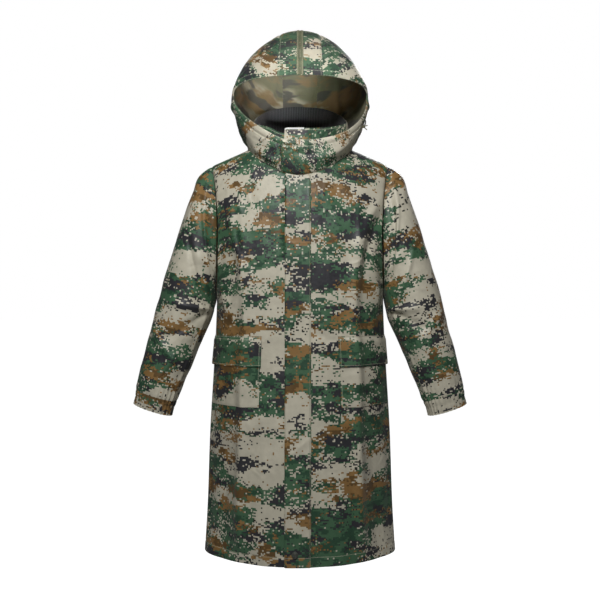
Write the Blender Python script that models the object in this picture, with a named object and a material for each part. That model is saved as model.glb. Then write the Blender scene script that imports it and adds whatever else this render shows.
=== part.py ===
"""A hooded, knee-length camouflage raincoat (windbreaker), filled out as if worn.

Frame: +Z up, the front faces -Y, the wearer's left side lies at +X.  The origin is the middle of the
neck opening, level with the points where the neck seam meets the shoulder seams.  Sizes are metres.
Every piece of cloth is a thin closed wall on a form worked out from the tables below.
"""
import math
from collections import namedtuple

import bmesh
import bpy
from mathutils import Vector

# Cloth and seams
CLOTH = 0.0020            # coated shell cloth with its turned allowances
LINING = 0.0012           # mesh lining and zip tape
FLAP_CLOTH = 0.0024       # folded double cloth of the storm flap and pocket flaps
GAP = 0.0003              # two pieces meeting at a seam
MITRE_LIMIT = 0.2         # seam edges that fold back further than this are left square

# Body
HEM_Z = -1.054
UNDERARM_Z = -0.372
CHEST_Z = UNDERARM_Z      # above it the fronts and back lean in to the shoulder seams
NECK_HALF_WIDTH = 0.138
NECK_FRONT_DROP = 0.078
NECK_BACK_DROP = 0.020
SHOULDER_HALF_WIDTH = 0.2332
SHOULDER_DROP = 0.0415
SHOULDER_SLOPE = SHOULDER_DROP / (SHOULDER_HALF_WIDTH - NECK_HALF_WIDTH)
COLUMN_ROUND = 2.5        # spaces the body's columns as they lie round a section of this exponent
SHOULDER_ROUND = 2.6      # superellipse exponent of the curve from chest to shoulder
PRESS_FOLD_SHARE = 0.63   # place of the pressed vertical folds, as a share of the half width
PRESS_FOLD_HEIGHT = 0.006
PRESS_FOLD_WIDTH = 0.018
ZIP_HALF_GAP = 0.003      # each front ends this far from the centre line

# Level sections; side_round is the superellipse exponent, sharper at the side seams near the hem
BodySection = namedtuple("BodySection", "z half_width front back side_round")
BODY = [
    BodySection(-1.054, 0.2515, 0.176, 0.170, 1.75),
    BodySection(-0.925, 0.2440, 0.168, 0.164, 1.80),
    BodySection(-0.740, 0.2375, 0.160, 0.158, 1.95),
    BodySection(-0.580, 0.2280, 0.152, 0.152, 2.15),
    BodySection(-0.480, 0.2222, 0.148, 0.149, 2.30),
    BodySection(-0.372, 0.2200, 0.144, 0.147, 2.45),
    BodySection(-0.280, 0.2295, 0.141, 0.146, 2.50),
    BodySection(-0.180, 0.2385, 0.139, 0.145, 2.50),
    BodySection(-0.080, 0.2440, 0.138, 0.144, 2.50),
    BodySection(0.060, 0.2480, 0.138, 0.144, 2.50),
]

ArmholeEdge = namedtuple("ArmholeEdge", "z x")
ARMHOLE = [
    ArmholeEdge(-0.3720, 0.2200),
    ArmholeEdge(-0.3400, 0.2172),
    ArmholeEdge(-0.2800, 0.2146),
    ArmholeEdge(-0.2000, 0.2135),
    ArmholeEdge(-0.1200, 0.2190),
    ArmholeEdge(-0.0700, 0.2265),
    ArmholeEdge(-0.0415, 0.2332),
]

# Sleeve: rings from the armhole to the cuff seam, each from an outer point to an inner one
SleeveRing = namedtuple("SleeveRing", "along out_x out_z in_x in_z half_depth y")
SLEEVE = [
    SleeveRing(0.00, 0.2332, -0.0415, 0.2200, -0.3720, 0.073, 0.000),
    SleeveRing(0.08, 0.2690, -0.0690, 0.2206, -0.3800, 0.083, 0.000),
    SleeveRing(0.16, 0.2840, -0.1120, 0.2212, -0.3880, 0.088, -0.001),
    SleeveRing(0.26, 0.3080, -0.1780, 0.2226, -0.3990, 0.090, -0.002),
    SleeveRing(0.37, 0.3345, -0.2620, 0.2258, -0.4140, 0.089, -0.004),
    SleeveRing(0.48, 0.3575, -0.3390, 0.2295, -0.4310, 0.087, -0.007),
    SleeveRing(0.58, 0.3745, -0.4055, 0.2368, -0.4530, 0.084, -0.011),
    SleeveRing(0.74, 0.4010, -0.5110, 0.2757, -0.5440, 0.074, -0.020),
    SleeveRing(0.88, 0.4175, -0.5778, 0.3030, -0.6090, 0.066, -0.028),
    SleeveRing(1.00, 0.4267, -0.6256, 0.3222, -0.6585, 0.058, -0.035),
]
CUFF = [
    SleeveRing(0.00, 0.4267, -0.6256, 0.3222, -0.6585, 0.058, -0.035),
    SleeveRing(0.50, 0.4290, -0.6450, 0.3295, -0.6770, 0.0535, -0.036),
    SleeveRing(1.00, 0.4335, -0.6635, 0.3345, -0.6960, 0.0500, -0.037),
]
SLEEVE_ROUND = 2.15

# Hood: rings from the neck seam to the face opening, each through a front, a side and a top point
HoodRing = namedtuple(
    "HoodRing", "along front_y front_z half_width side_y side_z top_y top_z top_round sweep")
HOOD = [
    HoodRing(0.0, -0.1170, -0.0780, 0.1380, 0.000, 0.000, 0.097, -0.020, 2.0, 0.50),
    HoodRing(1.0, -0.1195, -0.0680, 0.1470, 0.000, 0.036, 0.126, 0.052, 2.0, 0.50),
    HoodRing(2.0, -0.1215, -0.0580, 0.1570, -0.010, 0.066, 0.148, 0.128, 2.0, 0.50),
    HoodRing(3.0, -0.1230, -0.0480, 0.1660, -0.022, 0.088, 0.150, 0.205, 2.0, 0.50),
    HoodRing(4.0, -0.1240, -0.0380, 0.1720, -0.036, 0.104, 0.124, 0.272, 1.9, 0.50),
    HoodRing(5.0, -0.1248, -0.0280, 0.1750, -0.048, 0.114, 0.070, 0.315, 1.8, 0.50),
    HoodRing(6.0, -0.1254, -0.0180, 0.1760, -0.058, 0.120, 0.006, 0.322, 1.8, 0.52),
    HoodRing(7.0, -0.1258, -0.0090, 0.1755, -0.067, 0.123, -0.062, 0.287, 1.8, 0.62),
    HoodRing(8.0, -0.1260, 0.0000, 0.1740, -0.075, 0.122, -0.118, 0.228, 2.20, 0.78),
    HoodRing(9.0, -0.1260, 0.0085, 0.1715, -0.082, 0.118, -0.160, 0.164, 3.9, 1.00),
]
HOOD_RINGS = HOOD[-1].along
HOOD_LOW_ROUND_LEFT = 2.2       # the face edge is fuller on the wearer's left
HOOD_LOW_ROUND_RIGHT = 1.4
HOOD_RIGHT_CHIN_DROP = 0.0085   # the right half's face edge ends lower, under the lap
HOOD_CENTRE_NECK = 0.045        # half width of the centre panel at the neck seam
HOOD_CENTRE_BRIM = 0.057        # and at the brim
HOOD_LAP_X = -0.048             # the wearer's left half laps over the right as far as this
HOOD_LAP_LIFT = CLOTH + 3 * GAP
HOOD_LAP_RISE = 0.030           # the lap rises over this width
HOOD_STRIP_HALF_WIDTH = 0.0085
HOOD_STRIP_START = 1.3

# Collar stand inside the hood
CollarTop = namedtuple("CollarTop", "front_y front_z half_width side_y side_z back_y back_z")
COLLAR_TOP = CollarTop(-0.110, 0.040, 0.122, 0.006, 0.078, 0.117, 0.142)
COLLAR_END_X = -0.045
COLLAR_START = 0.15             # its foot, in hood rings above the neck seam
COLLAR_INSET = CLOTH + 4 * GAP  # its foot stands this far inside the hood
TAPE_START_X = -0.0445
TAPE_END_X = 0.011
TAPE_HEIGHT = 0.09              # share of the collar's height

# Storm flap, zip, pockets
FLAP_FREE_X = -0.038
FLAP_SEWN_X = 0.0275
FLAP_EDGE_X = -0.0198           # the fold line beside the snap
FLAP_STAND = 1.5 * GAP          # the flap lies this far off the fronts
ZIP_HALF_WIDTH = 0.014
FLAP_NECK_GAP = 0.0028          # the flap's top edge stops this far below the neck seam
ZIP_BOTTOM_Z = -1.000
ZIP_STAND = 4 * GAP             # its tape lies this far behind the fronts
POCKET_TOP_Z = -0.504
POCKET_BOTTOM_Z = -0.664
POCKET_FLAP_TOP_Z = -0.486
POCKET_FLAP_BOTTOM_Z = -0.563
POCKET_FLAP_OVERHANG = 0.0028   # the flap is this much wider than the pocket at each end
POCKET_FLAP_KICK = 0.0015       # the free edge stands off by this

# Snap cap near the hem, and the hood cord's two knotted ends
SNAP_RADIUS = 0.0083
SNAP_HEIGHT = 0.0026
SNAP_CROWN = 0.72               # radius of its flat top, as a share of its rim's
SNAP_STAND = 1.2 * GAP          # it sits this far off the storm flap
SNAP_X = -0.0123
SNAP_Z = -1.0215
CORD_RADIUS = 0.0015
CordPoint = namedtuple("CordPoint", "along x y z")
CORD_LEFT = [
    CordPoint(0.0, 0.1689, -0.0550, 0.0720),
    CordPoint(1.0, 0.1699, -0.0583, 0.0665),
    CordPoint(2.0, 0.1687, -0.0655, 0.0595),
    CordPoint(3.0, 0.1656, -0.0745, 0.0535),
    CordPoint(4.0, 0.1636, -0.0790, 0.0510),
]
CORD_RIGHT = [
    CordPoint(0.0, -0.1536, 0.0426, 0.1276),
    CordPoint(1.0, -0.1550, 0.0448, 0.1205),
    CordPoint(2.0, -0.1543, 0.0468, 0.1130),
    CordPoint(3.0, -0.1522, 0.0482, 0.1040),
    CordPoint(4.0, -0.1501, 0.0496, 0.0950),
]
CORD_STEPS = 8
KNOT_RADIUS = 0.0046

# Columns round the neck, in degrees from the side: -90 is centre front, 90 centre back.  The one at
# POCKET_TURN runs down the pocket's inner edge.
POCKET_TURN = -49.7
FRONT_TURNS = [-90, -76, -62, POCKET_TURN, -33, -16, 0]
BACK_TURNS = [18, 36, 54]
SHOULDER_X = [0.165, 0.190, 0.210, 0.2245, SHOULDER_HALF_WIDTH]
UPPER_ROWS = 8
SLEEVE_ROWS = 11
CUFF_ROWS = 3

FRONT = -1
BACK = 1
LEFT = 1                        # the wearer's left, at +X
RIGHT = -1


def clear_objects():
    for thing in list(bpy.data.objects):
        bpy.data.objects.remove(thing, do_unlink=True)


def finish(name, colour, roughness):
    """A Principled material with the piece's own colour."""
    material = bpy.data.materials.new(name)
    material.use_nodes = True
    shader = material.node_tree.nodes["Principled BSDF"]
    shader.inputs["Base Color"].default_value = (*colour, 1.0)
    shader.inputs["Roughness"].default_value = roughness
    shader.inputs["Metallic"].default_value = 0.0
    return material


def follow(table, at):
    """Smooth values of a table's other columns at a place along its first column."""
    last = len(table) - 1
    low = 0
    while low < last - 1 and at > table[low + 1][0]:
        low += 1
    start, end = table[low], table[low + 1]
    before = table[max(low - 1, 0)]
    after = table[min(low + 2, last)]
    span = end[0] - start[0]
    t = (at - start[0]) / span
    values = []
    for column in range(1, len(start)):
        slope_in = (end[column] - before[column]) / (end[0] - before[0])
        slope_out = (after[column] - start[column]) / (after[0] - start[0])
        values.append(
            (2 * t**3 - 3 * t**2 + 1) * start[column]
            + (t**3 - 2 * t**2 + t) * span * slope_in
            + (3 * t**2 - 2 * t**3) * end[column]
            + (t**3 - t**2) * span * slope_out
        )
    return values


def smooth_step(value):
    value = min(max(value, 0.0), 1.0)
    return value * value * (3 - 2 * value)


def blend(start, end, share):
    return start + (end - start) * share


def spread(start, end, steps):
    return [blend(start, end, step / steps) for step in range(steps + 1)]


def power(value, exponent):
    return max(value, 0.0) ** exponent


# ---- the body's form ----

def shoulder_line(x):
    """Height of the shoulder line, carried on to the centre."""
    return -SHOULDER_SLOPE * (abs(x) - NECK_HALF_WIDTH)


def neck_line(x, face):
    drop = NECK_FRONT_DROP if face == FRONT else NECK_BACK_DROP
    return -drop * (1 - (x / NECK_HALF_WIDTH) ** 2)


def top_line(x, face):
    if abs(x) < NECK_HALF_WIDTH:
        return neck_line(x, face)
    return shoulder_line(x)


def body_y(x, z, face):
    """Depth of the front or back at a place across and a height."""
    half_width, front, back, side_round = follow(BODY, z)
    depth = front if face == FRONT else back
    across = min(abs(x) / half_width, 1.0)
    round_side = power(1 - across**side_round, 1 / side_round)
    climb = (z - CHEST_Z) / (shoulder_line(x) - CHEST_Z)
    round_top = power(1 - min(max(climb, 0.0), 1.0) ** SHOULDER_ROUND, 1 / SHOULDER_ROUND)
    off_fold = (across - PRESS_FOLD_SHARE) * half_width / PRESS_FOLD_WIDTH
    fold = PRESS_FOLD_HEIGHT * math.exp(-off_fold * off_fold) * (1 - smooth_step((z + 0.36) / 0.2))
    if face == BACK:
        fold *= 0.5
    return face * (depth * round_side + fold) * round_top


def edge_turn(edge_x, half_width):
    """The angle round a section, from its centre, at which it reaches edge_x."""
    return math.asin(min(power(edge_x / half_width, COLUMN_ROUND / 2), 1.0))


def body_point(column, level, face):
    """Body surface. column is the x where the column meets the neck or shoulder line; level is 0 at
    the hem, 1 at the underarm and 2 at the neck and shoulder line."""
    side = 1 if column >= 0 else -1
    top_width = follow(BODY, -SHOULDER_DROP)[0]
    full_turn = edge_turn(SHOULDER_HALF_WIDTH, top_width)
    share = edge_turn(abs(column), top_width) / full_turn
    if level <= 1:
        z = blend(HEM_Z, UNDERARM_Z, level)
        edge_x = follow(BODY, z)[0]
        turn = math.pi / 2
    else:
        rise = (1 - math.cos(math.pi * (level - 1))) / 2
        edge_z = blend(UNDERARM_Z, -SHOULDER_DROP, rise)
        edge_x = follow(ARMHOLE, edge_z)[0]
        turn = edge_turn(edge_x, follow(BODY, edge_z)[0])
        z = blend(UNDERARM_Z, top_line(column, face), rise)
    x = side * edge_x * power(math.sin(share * turn) / math.sin(turn), 2 / COLUMN_ROUND)
    return Vector((x, body_y(x, z, face) + face * GAP / 2, z))


def front_point(x, level):
    """Front surface at a constant x, on the body's own rows, up to just under the neck seam."""
    if level <= 1:
        z = blend(HEM_Z, UNDERARM_Z, level)
    else:
        top = neck_line(x, FRONT) - FLAP_NECK_GAP
        z = blend(UNDERARM_Z, top, (1 - math.cos(math.pi * (level - 1))) / 2)
    return Vector((x, body_y(x, z, FRONT) - GAP / 2, z))


def level_of(z):
    return (z - HEM_Z) / (UNDERARM_Z - HEM_Z)


def body_levels():
    """Rows of the body; some lie along the edges of the pockets and their flaps."""
    pocket_rows = [POCKET_BOTTOM_Z, (POCKET_BOTTOM_Z + POCKET_FLAP_BOTTOM_Z) / 2, POCKET_FLAP_BOTTOM_Z,
                   POCKET_TOP_Z, (POCKET_TOP_Z + POCKET_FLAP_TOP_Z) / 2, POCKET_FLAP_TOP_Z]
    lower = spread(HEM_Z, POCKET_BOTTOM_Z, 4) + pocket_rows[1:] + [-0.430, UNDERARM_Z]
    return [level_of(z) for z in lower] + spread(1, 2, UPPER_ROWS)[1:]


# ---- sleeves and cuffs ----

def armhole_point(angle, side):
    """Armhole edge: angle 0 at the shoulder, 90 at the front, 180 at the underarm, 270 at the back."""
    z = blend(UNDERARM_Z, -SHOULDER_DROP, (1 + math.cos(math.radians(angle))) / 2)
    x = follow(ARMHOLE, z)[0]
    face = FRONT if angle <= 180 else BACK
    return Vector((side * x, body_y(x, z, face), z))


def ring_point(table, along, angle, side):
    out_x, out_z, in_x, in_z, half_depth, y = follow(table, along)
    turn = math.radians(angle)
    reach = math.copysign(power(abs(math.cos(turn)), 2 / SLEEVE_ROUND), math.cos(turn))
    swing = math.copysign(power(abs(math.sin(turn)), 2 / SLEEVE_ROUND), math.sin(turn))
    return Vector((
        side * ((out_x + in_x) / 2 + (out_x - in_x) / 2 * reach),
        y - half_depth * swing,
        (out_z + in_z) / 2 + (out_z - in_z) / 2 * reach,
    ))


def sleeve_point(angle, along, side):
    point = ring_point(SLEEVE, along, angle, side)
    fade = power(1 - along / 0.22, 2)
    if along < 0.22:
        point += (armhole_point(angle, side) - ring_point(SLEEVE, 0, angle, side)) * fade
    if along == 0:
        point.x += side * GAP
    return point


# ---- hood and collar ----

def neck_point(turn, side):
    """Neck seam: turn -90 is centre front, 0 the shoulder seam and 90 centre back."""
    x = NECK_HALF_WIDTH * math.cos(math.radians(turn))
    face = FRONT if turn < 0 else BACK
    z = neck_line(x, face)
    return Vector((side * x, body_y(x, z, face), z))


def hood_point(turn, along, side):
    ring = follow(HOOD, along)
    front_y, front_z, half_width, side_y, side_z, top_y, top_z, top_round, sweep = ring
    angle = math.radians(turn)
    low_end = HOOD_LOW_ROUND_LEFT if side == LEFT else HOOD_LOW_ROUND_RIGHT
    low_round = blend(2.0, low_end, along / HOOD_RINGS)
    bend = 2 / (top_round if turn > 0 else low_round)
    x = half_width * math.copysign(power(abs(math.cos(angle)), bend), math.cos(angle))
    rise = power(abs(math.sin(angle)), bend)
    if turn > 0:
        forward = power(1 - (x / half_width) ** 2, sweep)
        point = Vector((side * x, blend(side_y, top_y, forward), blend(side_z, top_z, rise)))
    else:
        if side == RIGHT:
            front_z -= HOOD_RIGHT_CHIN_DROP * along / HOOD_RINGS
        point = Vector((side * x, blend(side_y, front_y, rise), blend(side_z, front_z, rise)))
    if along < 2:
        flat = follow(HOOD, 0)
        base = Vector((side * NECK_HALF_WIDTH * math.cos(angle),
                       blend(flat[3], flat[5] if turn > 0 else flat[0], abs(math.sin(angle))),
                       blend(flat[4], flat[6] if turn > 0 else flat[1], abs(math.sin(angle)))))
        point += (neck_point(turn, side) - base) * power(1 - along / 2, 2)
    point.z += GAP * power(1 - along / 2, 2) if along < 2 else 0
    return point


def turn_at(x, along):
    """Turn on the front half of a ring, on the wearer's left, at a signed x."""
    half_width = follow(HOOD, along)[2]
    low_round = blend(2.0, HOOD_LOW_ROUND_LEFT, along / HOOD_RINGS)
    cosine = math.copysign(power(abs(x) / half_width, low_round / 2), x)
    return -math.degrees(math.acos(cosine))


def seam_turn(along, x=None):
    """Turn at which a ring passes the seam of the hood's centre panel, or a given x."""
    ring = follow(HOOD, along)
    if x is None:
        x = blend(HOOD_CENTRE_NECK, HOOD_CENTRE_BRIM, along / HOOD_RINGS)
    return math.degrees(math.acos(power(x / ring[2], ring[7] / 2)))


def hood_side_point(column, along, side):
    """Side panel; column runs over the neck's turns, below -90 on the lap, up to the seam."""
    if column > 0:
        turn = column / seam_turn(0) * (seam_turn(along) - 0.1)
    elif column < -90:
        lap_now = turn_at(HOOD_LAP_X, along) + 90
        lap_foot = turn_at(HOOD_LAP_X, 0) + 90
        turn = -90 + (column + 90) * lap_now / lap_foot
    else:
        turn = column
    return hood_point(turn, along, side)


def hood_centre_point(across, along):
    """Centre panel; across runs from -1 to 1 between its seams."""
    side = LEFT if across >= 0 else RIGHT
    half = blend(HOOD_CENTRE_NECK, HOOD_CENTRE_BRIM, along / HOOD_RINGS)
    return hood_point(seam_turn(along, abs(across) * half), along, side)


def collar_top_point(turn, side):
    top = COLLAR_TOP
    angle = math.radians(turn)
    rise = abs(math.sin(angle))
    end_y, end_z = (top.back_y, top.back_z) if turn > 0 else (top.front_y, top.front_z)
    return Vector((side * top.half_width * math.cos(angle), blend(top.side_y, end_y, rise),
                   blend(top.side_z, end_z, rise)))


def collar_point(round_turn, up):
    """Collar stand; round_turn is -90 at centre front, 90 at centre back and 270 at the front again."""
    side = LEFT if round_turn <= 90 else RIGHT
    turn = round_turn if round_turn <= 90 else 180 - round_turn
    foot = hood_point(turn, COLLAR_START, side)
    middle = Vector((0, 0, foot.z))
    foot += (middle - foot).normalized() * COLLAR_INSET
    return foot.lerp(collar_top_point(turn, side), up)


# ---- making walls ----

def normal_at(form, u, v, reach_u, reach_v):
    """Unit normal of a form, from small steps that stay inside its columns and rows."""
    step_u = (reach_u[1] - reach_u[0]) * 0.002
    step_v = (reach_v[1] - reach_v[0]) * 0.002
    along_u = form(min(u + step_u, reach_u[1]), v) - form(max(u - step_u, reach_u[0]), v)
    along_v = form(u, min(v + step_v, reach_v[1])) - form(u, max(v - step_v, reach_v[0]))
    return along_u.cross(along_v).normalized()


def wall(name, form, columns, rows, thick, material, sense=1, lift=None, tube=False, mitre=None):
    """A closed cloth wall: its outer face is form(u, v), moved out by lift, and it is thick inward.
    Where mitre(u, v) gives the neighbour's normal, the edge is cut along the line between the two."""
    mesh = bmesh.new()
    place = mesh.verts.layers.float_vector.new("place")
    across, up = len(columns) - 1, len(rows) - 1
    bmesh.ops.create_grid(mesh, x_segments=across, y_segments=up, size=0.5)
    reach_u, reach_v = (columns[0], columns[-1]), (rows[0], rows[-1])

    def settle(vert, depth):
        u = columns[round(vert[place][0])]
        v = rows[round(vert[place][1])]
        point = form(u, v)
        normal = normal_at(form, u, v, reach_u, reach_v) * sense
        neighbour = mitre(u, v) if mitre else None
        if neighbour and neighbour.dot(normal) > MITRE_LIMIT:
            normal = (normal + neighbour).normalized()
        raised = lift(point) if lift else 0.0
        vert.co = point + normal * (raised - depth)

    for vert in mesh.verts:
        vert[place] = ((vert.co.x + 0.5) * across, (vert.co.y + 0.5) * up, 0)
        settle(vert, 0.0)
    if tube:
        bmesh.ops.remove_doubles(mesh, verts=mesh.verts, dist=1e-5)
    grown = bmesh.ops.extrude_face_region(mesh, geom=mesh.faces[:], use_keep_orig=True)
    for vert in [item for item in grown["geom"] if isinstance(item, bmesh.types.BMVert)]:
        settle(vert, thick)
    bmesh.ops.recalc_face_normals(mesh, faces=mesh.faces)
    return add_piece(name, mesh, material)


def add_piece(name, mesh, material):
    data = bpy.data.meshes.new(name)
    mesh.to_mesh(data)
    mesh.free()
    data.shade_smooth()
    data.set_sharp_from_angle(angle=math.radians(50))
    data.materials.append(material)
    piece = bpy.data.objects.new(name, data)
    bpy.context.collection.objects.link(piece)
    return piece


# ---- the pieces ----

def half_columns(face):
    """Columns of one half of the body, from near the centre to the sleeve, by their x at the top."""
    if face == FRONT:
        inner = [ZIP_HALF_GAP]
        inner += [NECK_HALF_WIDTH * math.cos(math.radians(turn)) for turn in FRONT_TURNS[1:]]
    else:
        inner = [0.0, HOOD_CENTRE_NECK / 2, HOOD_CENTRE_NECK]
        inner += [NECK_HALF_WIDTH * math.cos(math.radians(turn)) for turn in reversed([0] + BACK_TURNS)]
    return inner + SHOULDER_X


def mirrored(columns):
    return [-column for column in reversed(columns)]


def sleeve_normal(column, level, face):
    """The sleeve's normal where it meets the body's edge, for the mitred armhole seam."""
    if abs(column) < SHOULDER_HALF_WIDTH or level < 1:
        return None
    side = LEFT if column > 0 else RIGHT
    angle = (2 - level) * 180 if face == FRONT else 360 - (2 - level) * 180
    form = lambda u, v: sleeve_point(u, v, side)
    return normal_at(form, angle, 0, (0, 360), (0, 1)) * side


def body_normal(angle, along, side):
    """The body's normal where the sleeve's edge meets it."""
    if along > 0:
        return None
    face = FRONT if angle <= 180 else BACK
    level = 2 - angle / 180 if face == FRONT else angle / 180
    form = lambda u, v: body_point(u, v, face)
    reach = (0, SHOULDER_HALF_WIDTH) if side == LEFT else (-SHOULDER_HALF_WIDTH, 0)
    return normal_at(form, side * SHOULDER_HALF_WIDTH, level, reach, (0, 2)) * -face


def make_body(shell):
    levels = body_levels()
    front = half_columns(FRONT)
    back = half_columns(BACK)
    mitre = lambda u, v: sleeve_normal(u, v, FRONT)
    back_mitre = lambda u, v: sleeve_normal(u, v, BACK)
    front_form = lambda u, v: body_point(u, v, FRONT)
    wall("front_left", front_form, front, levels, CLOTH, shell, mitre=mitre)
    wall("front_right", front_form, mirrored(front), levels, CLOTH, shell, mitre=mitre)
    wall("back", lambda u, v: body_point(u, v, BACK), mirrored(back)[:-1] + back, levels, CLOTH, shell, -1,
         mitre=back_mitre)


def make_sleeve(side, word, shell):
    around = spread(0, 360, 2 * UPPER_ROWS)
    down = [row**1.25 for row in spread(0, 1, SLEEVE_ROWS)]
    wall("sleeve_" + word, lambda u, v: sleeve_point(u, v, side), around, down, CLOTH, shell, side,
         tube=True, mitre=lambda u, v: body_normal(u, v, side))

    def cuff_point(angle, along):
        point = ring_point(CUFF, along, angle, side)
        if along == 0:
            point.z -= GAP
        return point

    wall("cuff_" + word, cuff_point, around, spread(0, 1, CUFF_ROWS), CLOTH, shell, side, tube=True)


def make_hood(shell):
    rows = [0, 0.6, 1.3, 2, 2.75, 3.5, 4.25, 5, 5.75, 6.5, 7.2, 7.9, 8.5, HOOD_RINGS]
    seam = seam_turn(0)
    lap_foot = turn_at(HOOD_LAP_X, 0)
    behind = FRONT_TURNS[1:] + BACK_TURNS + [seam]

    def lap_lift(point):
        return HOOD_LAP_LIFT * smooth_step((HOOD_LAP_RISE + ZIP_HALF_GAP - point.x) / HOOD_LAP_RISE)

    wall("hood_side_left", lambda u, v: hood_side_point(u, v, LEFT),
         [lap_foot, blend(lap_foot, -90, 0.5), -90] + behind, rows, CLOTH, shell, LEFT, lift=lap_lift)
    wall("hood_side_right", lambda u, v: hood_side_point(u, v, RIGHT),
         [turn_at(ZIP_HALF_GAP, 0)] + behind, rows, CLOTH, shell, RIGHT)
    wall("hood_centre", hood_centre_point, spread(-1, 1, 4), rows, CLOTH, shell, -1)

    def strip_point(across, along):
        half = blend(HOOD_CENTRE_NECK, HOOD_CENTRE_BRIM, along / HOOD_RINGS)
        return hood_centre_point(across / half, along)

    strip = [-HOOD_STRIP_HALF_WIDTH, 0, HOOD_STRIP_HALF_WIDTH]
    strip_rows = [HOOD_STRIP_START] + rows[3:]
    wall("hood_strip", strip_point, strip, strip_rows, LINING, shell, -1, lift=lambda point: LINING + GAP)


def make_collar(shell, mesh_lining, tape):
    start = turn_at(COLLAR_END_X, 0)
    seam = seam_turn(0)
    half = FRONT_TURNS[1:] + BACK_TURNS + [seam, seam_turn(0, HOOD_CENTRE_NECK / 2)]
    other_half = [180 - turn for turn in reversed(half)]
    end = 180 - turn_at(-COLLAR_END_X, 0) - 0.4
    around = [start, -90] + half + [90] + [turn for turn in other_half if turn < end - 5] + [end]
    wall("collar_stand", collar_point, around, spread(0, 1, 3), CLOTH, shell)
    wall("collar_lining", collar_point, around, spread(0, 1, 3), LINING, mesh_lining,
         lift=lambda point: -(CLOTH + GAP))
    tape_turns = [turn_at(TAPE_START_X, 0), -90, turn_at(TAPE_END_X, 0)]
    wall("collar_tape", collar_point, tape_turns, [1 - TAPE_HEIGHT, 1], LINING, tape,
         lift=lambda point: LINING + 2 * GAP)


def make_closure(shell, tape, snap):
    levels = body_levels()
    across = [FLAP_FREE_X, FLAP_EDGE_X, ZIP_HALF_GAP, FLAP_SEWN_X]
    wall("storm_flap", front_point, across, levels, FLAP_CLOTH, shell,
         lift=lambda point: FLAP_CLOTH + FLAP_STAND)
    bottom = level_of(ZIP_BOTTOM_Z)
    zip_levels = [bottom] + [level for level in levels if bottom < level < 2]
    wall("zip", front_point, [-ZIP_HALF_WIDTH, 0, ZIP_HALF_WIDTH], zip_levels, LINING, tape,
         lift=lambda point: -(CLOTH + ZIP_STAND))
    make_snap(snap)


def make_snap(material):
    """A domed cap, turned square to the storm flap."""
    level = level_of(SNAP_Z)
    centre = front_point(SNAP_X, level)
    normal = normal_at(front_point, SNAP_X, level, (-0.2, 0.2), (0, 1))
    mesh = bmesh.new()
    bmesh.ops.create_cone(mesh, cap_ends=True, segments=20, radius1=SNAP_RADIUS,
                          radius2=SNAP_RADIUS * SNAP_CROWN, depth=SNAP_HEIGHT)
    bmesh.ops.rotate(mesh, verts=mesh.verts, matrix=normal.to_track_quat("Z", "Y").to_matrix())
    proud = FLAP_CLOTH + FLAP_STAND + SNAP_STAND + SNAP_HEIGHT / 2
    bmesh.ops.translate(mesh, verts=mesh.verts, vec=centre + normal * proud)
    add_piece("snap_cap", mesh, material)


def make_pocket(side, word, shell):
    """A patch pocket and its flap, on the front's own columns from the pocket's edge round the side."""
    columns = half_columns(FRONT)
    inner = NECK_HALF_WIDTH * math.cos(math.radians(POCKET_TURN))
    covered = [column for column in columns if inner - 1e-6 < column < SHOULDER_HALF_WIDTH]
    levels = body_levels()

    def rows_between(low, high):
        return [level for level in levels if level_of(low) - 1e-6 < level < level_of(high) + 1e-6]

    def place(columns):
        return columns if side == LEFT else mirrored(columns)

    def flap_lift(point):
        over = smooth_step((POCKET_FLAP_TOP_Z - 0.002 - point.z) / 0.007)
        kick = smooth_step((POCKET_FLAP_TOP_Z - point.z) / (POCKET_FLAP_TOP_Z - POCKET_FLAP_BOTTOM_Z))
        return FLAP_CLOTH + 2 * GAP + (CLOTH + GAP) * over + POCKET_FLAP_KICK * kick

    form = lambda u, v: body_point(u, v, FRONT)
    wall("pocket_" + word, form, place(covered), rows_between(POCKET_BOTTOM_Z, POCKET_TOP_Z), CLOTH, shell,
         lift=lambda point: CLOTH + GAP)
    wide = [inner - POCKET_FLAP_OVERHANG] + covered + [covered[-1] + POCKET_FLAP_OVERHANG]
    wall("pocket_flap_" + word, form, place(wide), rows_between(POCKET_FLAP_BOTTOM_Z, POCKET_FLAP_TOP_Z),
         FLAP_CLOTH, shell, lift=flap_lift)


def make_cord(word, route, cord):
    """A short knotted end of the hood's drawcord, lying on the cheek of the hood."""
    curve = bpy.data.curves.new("cord_" + word, "CURVE")
    curve.dimensions = "3D"
    curve.render_resolution_u = 0
    curve.bevel_depth = CORD_RADIUS
    curve.bevel_resolution = 2
    curve.use_fill_caps = True
    line = curve.splines.new("POLY")
    places = [follow(route, along) for along in spread(0, route[-1].along, CORD_STEPS)]
    line.points.add(CORD_STEPS)
    for point, place in zip(line.points, places):
        point.co = (*place, 1)
    curve.materials.append(cord)
    bpy.context.collection.objects.link(bpy.data.objects.new("cord_" + word, curve))
    heading = (Vector(places[-1]) - Vector(places[-2])).normalized()
    mesh = bmesh.new()
    bmesh.ops.create_icosphere(mesh, subdivisions=2, radius=KNOT_RADIUS)
    bmesh.ops.translate(mesh, verts=mesh.verts, vec=Vector(places[-1]) + heading * (KNOT_RADIUS + GAP))
    add_piece("knot_" + word, mesh, cord)


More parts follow.
